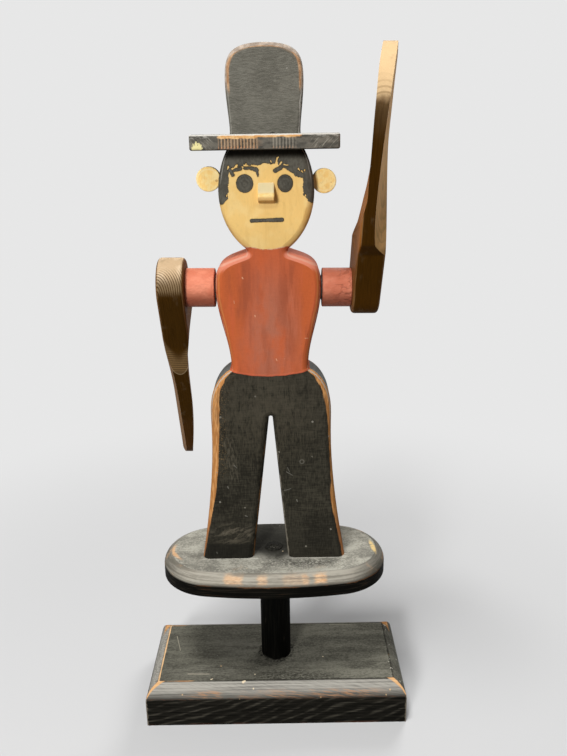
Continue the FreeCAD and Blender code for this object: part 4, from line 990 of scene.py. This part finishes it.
def paddle_finish(name, side, colours):
    """Brown stain on softwood.  side is 1 for the raised paddle and -1 for the lowered."""
    graph = Graph(name)
    x, y, z = graph.x, graph.y, graph.z
    up = z - AXLE_Z
    along = (up * math.cos(ARM_TILT) - y * math.sin(ARM_TILT)) * side
    across = y * -math.cos(ARM_TILT) - up * math.sin(ARM_TILT)
    depth = (x + up * math.sin(AXLE_SLANT)) * side - PADDLE_MIDDLE
    place = (depth, across, along)
    facing_front = graph.facing_y * -math.cos(ARM_TILT) - graph.facing_z * math.sin(ARM_TILT)
    facing_out = graph.facing_x * side

    # growth rings round a pith outside the board: arcs on the hub, straight lines elsewhere
    warp = (graph.noise((14.0, 14.0, 60.0), detail=2.0, seed=2.0, place=place) - 0.5) * 3.0
    deep = depth - colours["pith"][0] + warp
    aside = across - colours["pith"][1]
    share = graph.math("FRACT", radius(deep, aside) / colours["ring"])
    ring = rise(share, 0.35, 0.85) * rise(share, 1.0, 0.88)
    fibre = graph.noise((0.6, 0.6, 18.0), detail=4.0, roughness=0.6, seed=7.0, place=place)
    cross = graph.noise((5.0, 5.0, 0.55), detail=3.0, roughness=0.6, seed=9.0, place=place)
    cloud = graph.noise((12.0, 12.0, 30.0), detail=4.0, seed=11.0, place=place)

    # the faces towards the figure are the reddest, and the ones away from it the palest; on the
    # raised paddle that paleness is painted light
    towards = rise(facing_out, -0.15, -0.6)
    away = rise(facing_out, 0.15, 0.6) * (rise(facing_front, 0.0, 0.12) * 0.85 + 0.15)
    carved = rise(along, 40.0, 58.0)
    colour = mix(colours["edge"], mix(colours["face"], colours["inner"], carved), towards)
    colour = mix(colour, mix(colours["face"], colours["outer"], carved), away)
    colour = mix(colour, shaded(colour, 0.45), ring * 0.3)
    colour = shaded(colour, fibre * 0.7 + cloud * 0.5 + 0.4)

    # the forward edge is darkest
    middle = rise(abs(facing_out), 0.75, 0.45)
    front = rise(facing_front, 0.3, 0.7) * middle * rise(along, 10.0, 20.0)
    front = front * rise(along, colours["front_end"] + 14.0, colours["front_end"])
    front_colour = shaded(colours["front"], fibre * 1.2 + 0.4)
    colour = mix(colour, front_colour, front * 0.95)
    hub_front = rise(facing_front, 0.1, 0.55) * rise(along, 60.0, 40.0) * middle
    colour = mix(colour, front_colour, hub_front * 0.92)

    # the neck's hollow ends in a rounded edge, with the rings as fine lines above it
    hollow = along - colours["hollow"] + depth * depth * 0.14
    above_edge = between(hollow, -17.0, 0.0, 0.6) * rise(hollow, -18.0, -9.0)
    hollow_colour = mix(colours["flare"], shaded(colours["flare"], 0.42),
                        rise(graph.math("SINE", along * 4.6 + warp), -0.2, 0.8))
    seen_hollow = rise(facing_front, 0.2, 0.5) * middle * colours["hollow_share"]
    colour = mix(colour, hollow_colour, above_edge * seen_hollow)
    colour = mix(colour, (0.34, 0.25, 0.14), rise(abs(hollow), 0.8, 0.3) * seen_hollow * 0.6)

    # bare and faded at the hub's round end and towards the tip; on the hub's upward faces and on
    # the raised paddle's tip this is also a painted highlight
    faded = mix((0.56, 0.4, 0.24), (0.69, 0.52, 0.34), rise(cloud, 0.4, 0.6))
    arcs = rise(along, *colours["fade"])
    height_on_hub = rise(graph.facing_z, 0.02, 0.55)
    faded = mix(faded, (0.066, 0.037, 0.016), ring * rise(graph.facing_z, 0.8, 0.4) * 0.95)
    lit = height_on_hub * arcs * middle
    colour = mix(colour, faded, lit * 0.95)
    arc_zone = rise(graph.facing_z, -0.3, 0.05) * arcs * middle * lit.inverted()
    colour = mix(colour, (0.28, 0.195, 0.105), arc_zone * ring.inverted() * 0.7)
    tip = rise(along + (cloud - 0.5) * 12.0, colours["tip_start"], colours["tip_start"] + 7.0)
    tip = tip * rise(facing_front, -0.7, -0.1) * rise(abs(facing_out), 0.8, 0.55)
    worn_tip = rise(along + (cloud - 0.5) * 30.0, 140.0, 200.0)
    colour = mix(colour, shaded(colours["tip"], fibre * 0.8 + 0.3), worn_tip * 0.3)
    tip_colour = shaded(colours["tip"], fibre * 0.4 + cloud * 0.3 + 0.65)
    colour = mix(colour, tip_colour, tip * colours["tip_share"])
    tip_arcs = rise(graph.math("SINE", along * 2.2 + depth * depth * 0.1), 0.1, 0.9)
    tip_arcs = tip_arcs * rise(along, colours["tip_start"] + 18.0, colours["tip_start"] + 4.0)
    colour = mix(colour, (0.26, 0.15, 0.065), tip_arcs * tip * 0.6)

    # rubbed corners, partly a painted highlight on the rounding, and dirt round the axle
    rounding = rise(abs(facing_out), 0.35, 0.6) * rise(abs(facing_out), 0.92, 0.75)
    rim = rise(abs(across), 29.4, 31.2) * rise(fibre, 0.38, 0.6) * rounding
    colour = mix(colour, (0.42, 0.27, 0.14), rim * 0.35)
    rounding = rounding * rise(fibre, 0.46, 0.62) * rise(abs(depth), 8.6, 9.6)
    colour = mix(colour, (0.3, 0.19, 0.09), rounding * 0.45)
    grey = rise(graph.noise((9.0, 9.0, 14.0), detail=4.0, seed=17.0, place=place), 0.6, 0.74)
    colour = mix(colour, (0.17, 0.12, 0.07), grey * 0.25)
    hole_dirt = rise(radius(across, along), 8.0, 5.4)
    colour = mix(colour, (0.04, 0.018, 0.007), hole_dirt * 0.5)
    colour = mix(colour, (0.45, 0.36, 0.24), flecks(graph, 7.0, 0.36, 19.0, place) * 0.6)
    roughness = 0.5 + ring * 0.05 + lit * 0.1 - front * 0.04
    height = ring * tip.inverted() * 0.2 + fibre * 0.5 + cross * 0.2
    return graph.finish(colour, roughness, height, 0.00035, specular=0.3, ior=1.09)


# the raised paddle's pale outer and tip colours carry painted light
RAISED_COLOURS = {
    "face": (0.19, 0.078, 0.022), "edge": (0.125, 0.041, 0.005), "inner": (0.35, 0.125, 0.018),
    "outer": (0.95, 0.54, 0.21), "front": (0.052, 0.021, 0.0022), "flare": (0.12, 0.066, 0.024),
    "tip": (0.73, 0.51, 0.275), "front_end": 166.0, "fade": (30.0, 20.0),
    "pith": (-34.0, -8.0), "ring": 1.9, "hollow": 52.0, "hollow_share": 0.0, "tip_start": 168.0,
    "tip_share": 0.94}
LOWERED_COLOURS = {
    "face": (0.16, 0.068, 0.018), "edge": (0.058, 0.024, 0.005), "inner": (0.17, 0.066, 0.016),
    "outer": (0.25, 0.13, 0.052), "front": (0.046, 0.02, 0.0026), "flare": (0.165, 0.098, 0.04),
    "tip": (0.24, 0.11, 0.04), "front_end": 118.0, "fade": (14.0, 2.0),
    "pith": (13.0, 22.0), "ring": 1.7, "hollow": 67.0, "hollow_share": 1.0, "tip_start": 170.0,
    "tip_share": 0.3}


def dowel_finish():
    graph = Graph("dowel_wood")
    fibre = graph.noise((26.0, 0.5, 0.5), detail=4.0, roughness=0.6, seed=3.0)
    from_middle = radius(graph.y, graph.z, (0.0, AXLE_Z))
    waver = graph.noise((9.0, 3.0, 3.0), seed=5.0) * 3.0
    share = graph.math("FRACT", (from_middle + waver) / 0.9)
    ring = rise(share, 0.25, 0.88) * rise(share, 1.0, 0.88)
    colour = mix((0.3, 0.175, 0.085), (0.17, 0.085, 0.036), ring * 0.6)
    colour = shaded(colour, fibre * 0.8 + 0.6)
    rim = rise(from_middle, 4.2, 4.7)
    colour = mix(colour, (0.06, 0.028, 0.012), rim * 0.45)
    return graph.finish(colour, 0.62, fibre, 0.0001)


def metal_finish(name, colour, dull):
    """Small steel parts, partly dulled."""
    graph = Graph(name)
    brushed = graph.noise((0.5, 0.5, 0.5), detail=4.0, roughness=0.7, seed=2.0)
    spots = graph.noise((1.6, 1.6, 1.6), detail=3.0, seed=4.0)
    shade = shaded(colour, brushed * 0.5 + 0.75)
    stained = mix(shade, dull, rise(spots, 0.5, 0.66) * 0.8)
    clean = rise(spots, 0.3, 0.36)
    stained = mix(dull, stained, clean)
    graph.feed(graph.shader.inputs["Metallic"], clean)
    return graph.finish(stained, 0.38 + spots * 0.25, brushed, 0.00006)


def painted_over_finish():
    """Heads of screws and nails under the same black paint as the wood round them."""
    graph = Graph("painted_over_steel")
    grit = graph.noise((1.2, 1.2, 1.2), detail=4.0, roughness=0.6, seed=3.0)
    colour = mix((0.01, 0.0095, 0.0076), (0.032, 0.03, 0.024), rise(grit, 0.4, 0.64))
    upward = rise(graph.facing_z, 0.9, 0.4) * rise(graph.facing_z, 0.05, 0.35)
    colour = mix(colour, (0.09, 0.085, 0.07), upward * rise(grit, 0.42, 0.56) * 0.6)
    return graph.finish(colour, 0.62, grit, 0.0002, specular=0.25, ior=DUSTY_IOR)


def dress(node, material):
    slots = bpy.data.objects[node].material_slots
    if not len(slots):
        bpy.data.objects[node].data.materials.append(material)
        return
    for slot in slots:
        slot.material = material


def dress_all():
    tan_ear = tan_finish("ear_tan_paint", (0.9, 1.2, 5.0), ear_edges)
    zinc = metal_finish("zinc_steel", (0.52, 0.51, 0.48), (0.17, 0.15, 0.12))
    painted_steel = painted_over_finish()
    dark_steel = metal_finish("dark_steel", (0.17, 0.16, 0.15), (0.06, 0.055, 0.05))
    dowel = dowel_finish()
    finishes = {
        "base_board": base_board_finish(),
        "post": post_finish(),
        "platform": platform_finish(),
        "figure_body": figure_finish(),
        "hat_brim": hat_brim_finish(),
        "hat_crown": hat_crown_finish(),
        "nose": tan_finish("nose_tan_paint", (2.6, 0.8, 0.8), nose_edges),
        "ear_left": tan_ear,
        "ear_right": tan_ear,
        "ear_pins": dowel,
        "arm_axle": dowel,
        # the left sleeve's tone of 0.84 is painted shade
        "sleeve_left": sleeve_finish("left_sleeve_paint", 0.84, 1.0, 3.0),
        "sleeve_right": sleeve_finish("right_sleeve_paint", 1.0, 0.0, 23.0),
        "paddle_left": paddle_finish("raised_stained_wood", 1, RAISED_COLOURS),
        "paddle_right": paddle_finish("lowered_stained_wood", -1, LOWERED_COLOURS),
        "shoulder_washers": dark_steel,
        "pivot_screw": painted_steel,
        "pivot_washer": painted_steel,
        "brim_nails": painted_steel,
        "base_screw": zinc,
        "foot_screws": zinc,
        "crown_screws": zinc,
    }
    for node, material in finishes.items():
        dress(node, material)


# ---------------------------------------------------------------- camera and stage

CAMERA_PLACE = (0.0108, -0.5971, 0.4872)
CAMERA_PITCH = math.radians(17.0)       # downwards
CAMERA_ROLL = math.radians(-0.9)
CAMERA_LENS = 35.7
SENSOR = 36.0


def make_camera():
    ahead = Vector((0.0, math.cos(CAMERA_PITCH), -math.sin(CAMERA_PITCH)))
    level = Vector((1.0, 0.0, 0.0))
    upright = level.cross(ahead)
    right = level * math.cos(CAMERA_ROLL) + upright * math.sin(CAMERA_ROLL)
    up = upright * math.cos(CAMERA_ROLL) - level * math.sin(CAMERA_ROLL)
    data = bpy.data.cameras.new("photo_camera")
    data.lens = CAMERA_LENS
    data.sensor_width = SENSOR
    data.sensor_fit = "AUTO"
    data.clip_start = 0.01
    camera = bpy.data.objects.new("photo_camera", data)
    axes = Matrix((right, up, -ahead)).transposed().to_4x4()
    camera.matrix_world = Matrix.Translation(CAMERA_PLACE) @ axes
    bpy.context.scene.collection.objects.link(camera)
    bpy.context.scene.camera = camera


BACKGROUND = 0.8
FLOOR = 0.6
FILL = 0.16         # what soft light finds in place of the background and the floor


def seen_or_unseen(tree, seen, unseen):
    """One shader for the camera, gloss and glass, and another for soft light."""
    path = tree.nodes.new("ShaderNodeLightPath")
    eye = path.outputs["Is Camera Ray"]
    for name in ("Is Glossy Ray", "Is Transmission Ray"):
        either = tree.nodes.new("ShaderNodeMath")
        either.operation = "MAXIMUM"
        tree.links.new(eye, either.inputs[0])
        tree.links.new(path.outputs[name], either.inputs[1])
        eye = either.outputs[0]
    mixed = tree.nodes.new("ShaderNodeMixShader")
    tree.links.new(eye, mixed.inputs[0])
    tree.links.new(unseen, mixed.inputs[1])
    tree.links.new(seen, mixed.inputs[2])
    return mixed.outputs[0]


def plain_diffuse(tree, level):
    shader = tree.nodes.new("ShaderNodeBsdfDiffuse")
    shader.inputs["Color"].default_value = (level, level, level, 1.0)
    return shader.outputs[0]


def make_floor():
    """A pale floor that fades into the background away from the object."""
    mesh = bpy.data.meshes.new("floor")
    half = 8.0
    corners = [(-half, -half, 0), (half, -half, 0), (half, half, 0), (-half, half, 0)]
    mesh.from_pydata(corners, [], [(0, 1, 2, 3)])
    floor = bpy.data.objects.new("floor", mesh)
    bpy.context.scene.collection.objects.link(floor)
    graph = Graph("floor_paper")
    tree = graph.tree
    tree.nodes.remove(graph.shader)
    glow = tree.nodes.new("ShaderNodeEmission")
    glow.inputs["Color"].default_value = (BACKGROUND, BACKGROUND, BACKGROUND, 1.0)
    near_or_far = tree.nodes.new("ShaderNodeMixShader")
    distance = radius(graph.x, graph.y)
    graph.feed(near_or_far.inputs[0], rise(distance, 240.0, 760.0))
    tree.links.new(plain_diffuse(tree, FLOOR), near_or_far.inputs[1])
    tree.links.new(glow.outputs[0], near_or_far.inputs[2])
    surface = seen_or_unseen(tree, near_or_far.outputs[0], plain_diffuse(tree, FILL))
    tree.links.new(surface, tree.nodes["Material Output"].inputs["Surface"])
    mesh.materials.append(graph.material)


def add_area_light(name, place, target, size, level):
    """A round soft lamp.  level is how bright a white surface that faces it would be."""
    aim = Vector(target) - Vector(place)
    data = bpy.data.lights.new(name, "AREA")
    data.shape = "DISK"
    data.size = size
    data.energy = level * math.pi ** 2 * aim.length_squared
    lamp = bpy.data.objects.new(name, data)
    turn = aim.to_track_quat("-Z", "Y").to_matrix().to_4x4()
    lamp.matrix_world = Matrix.Translation(place) @ turn
    lamp.visible_camera = False
    bpy.context.scene.collection.objects.link(lamp)


def make_world():
    world = bpy.data.worlds.new("studio")
    world.use_nodes = True
    tree = world.node_tree
    unseen = tree.nodes["Background"]
    unseen.inputs["Color"].default_value = (1.0, 1.0, 1.0, 1.0)
    unseen.inputs["Strength"].default_value = FILL
    seen = tree.nodes.new("ShaderNodeBackground")
    seen.inputs["Color"].default_value = (BACKGROUND, BACKGROUND, BACKGROUND, 1.0)
    seen.inputs["Strength"].default_value = 1.0
    surface = seen_or_unseen(tree, seen.outputs[0], unseen.outputs[0])
    tree.links.new(surface, tree.nodes["World Output"].inputs["Surface"])
    bpy.context.scene.world = world


def make_lights():
    middle = (0.0, 0.0, 0.28)
    add_area_light("overhead", (-0.55, -0.85, 3.3), middle, 1.0, 0.72)
    add_area_light("front", (-0.75, -2.1, 1.02), middle, 0.5, 0.76)
    add_area_light("back", (0.9, 1.7, 1.35), middle, 1.0, 0.45)
    bpy.context.scene.view_settings.view_transform = "Standard"


dress_all()
make_camera()
make_floor()
make_world()
make_lights()
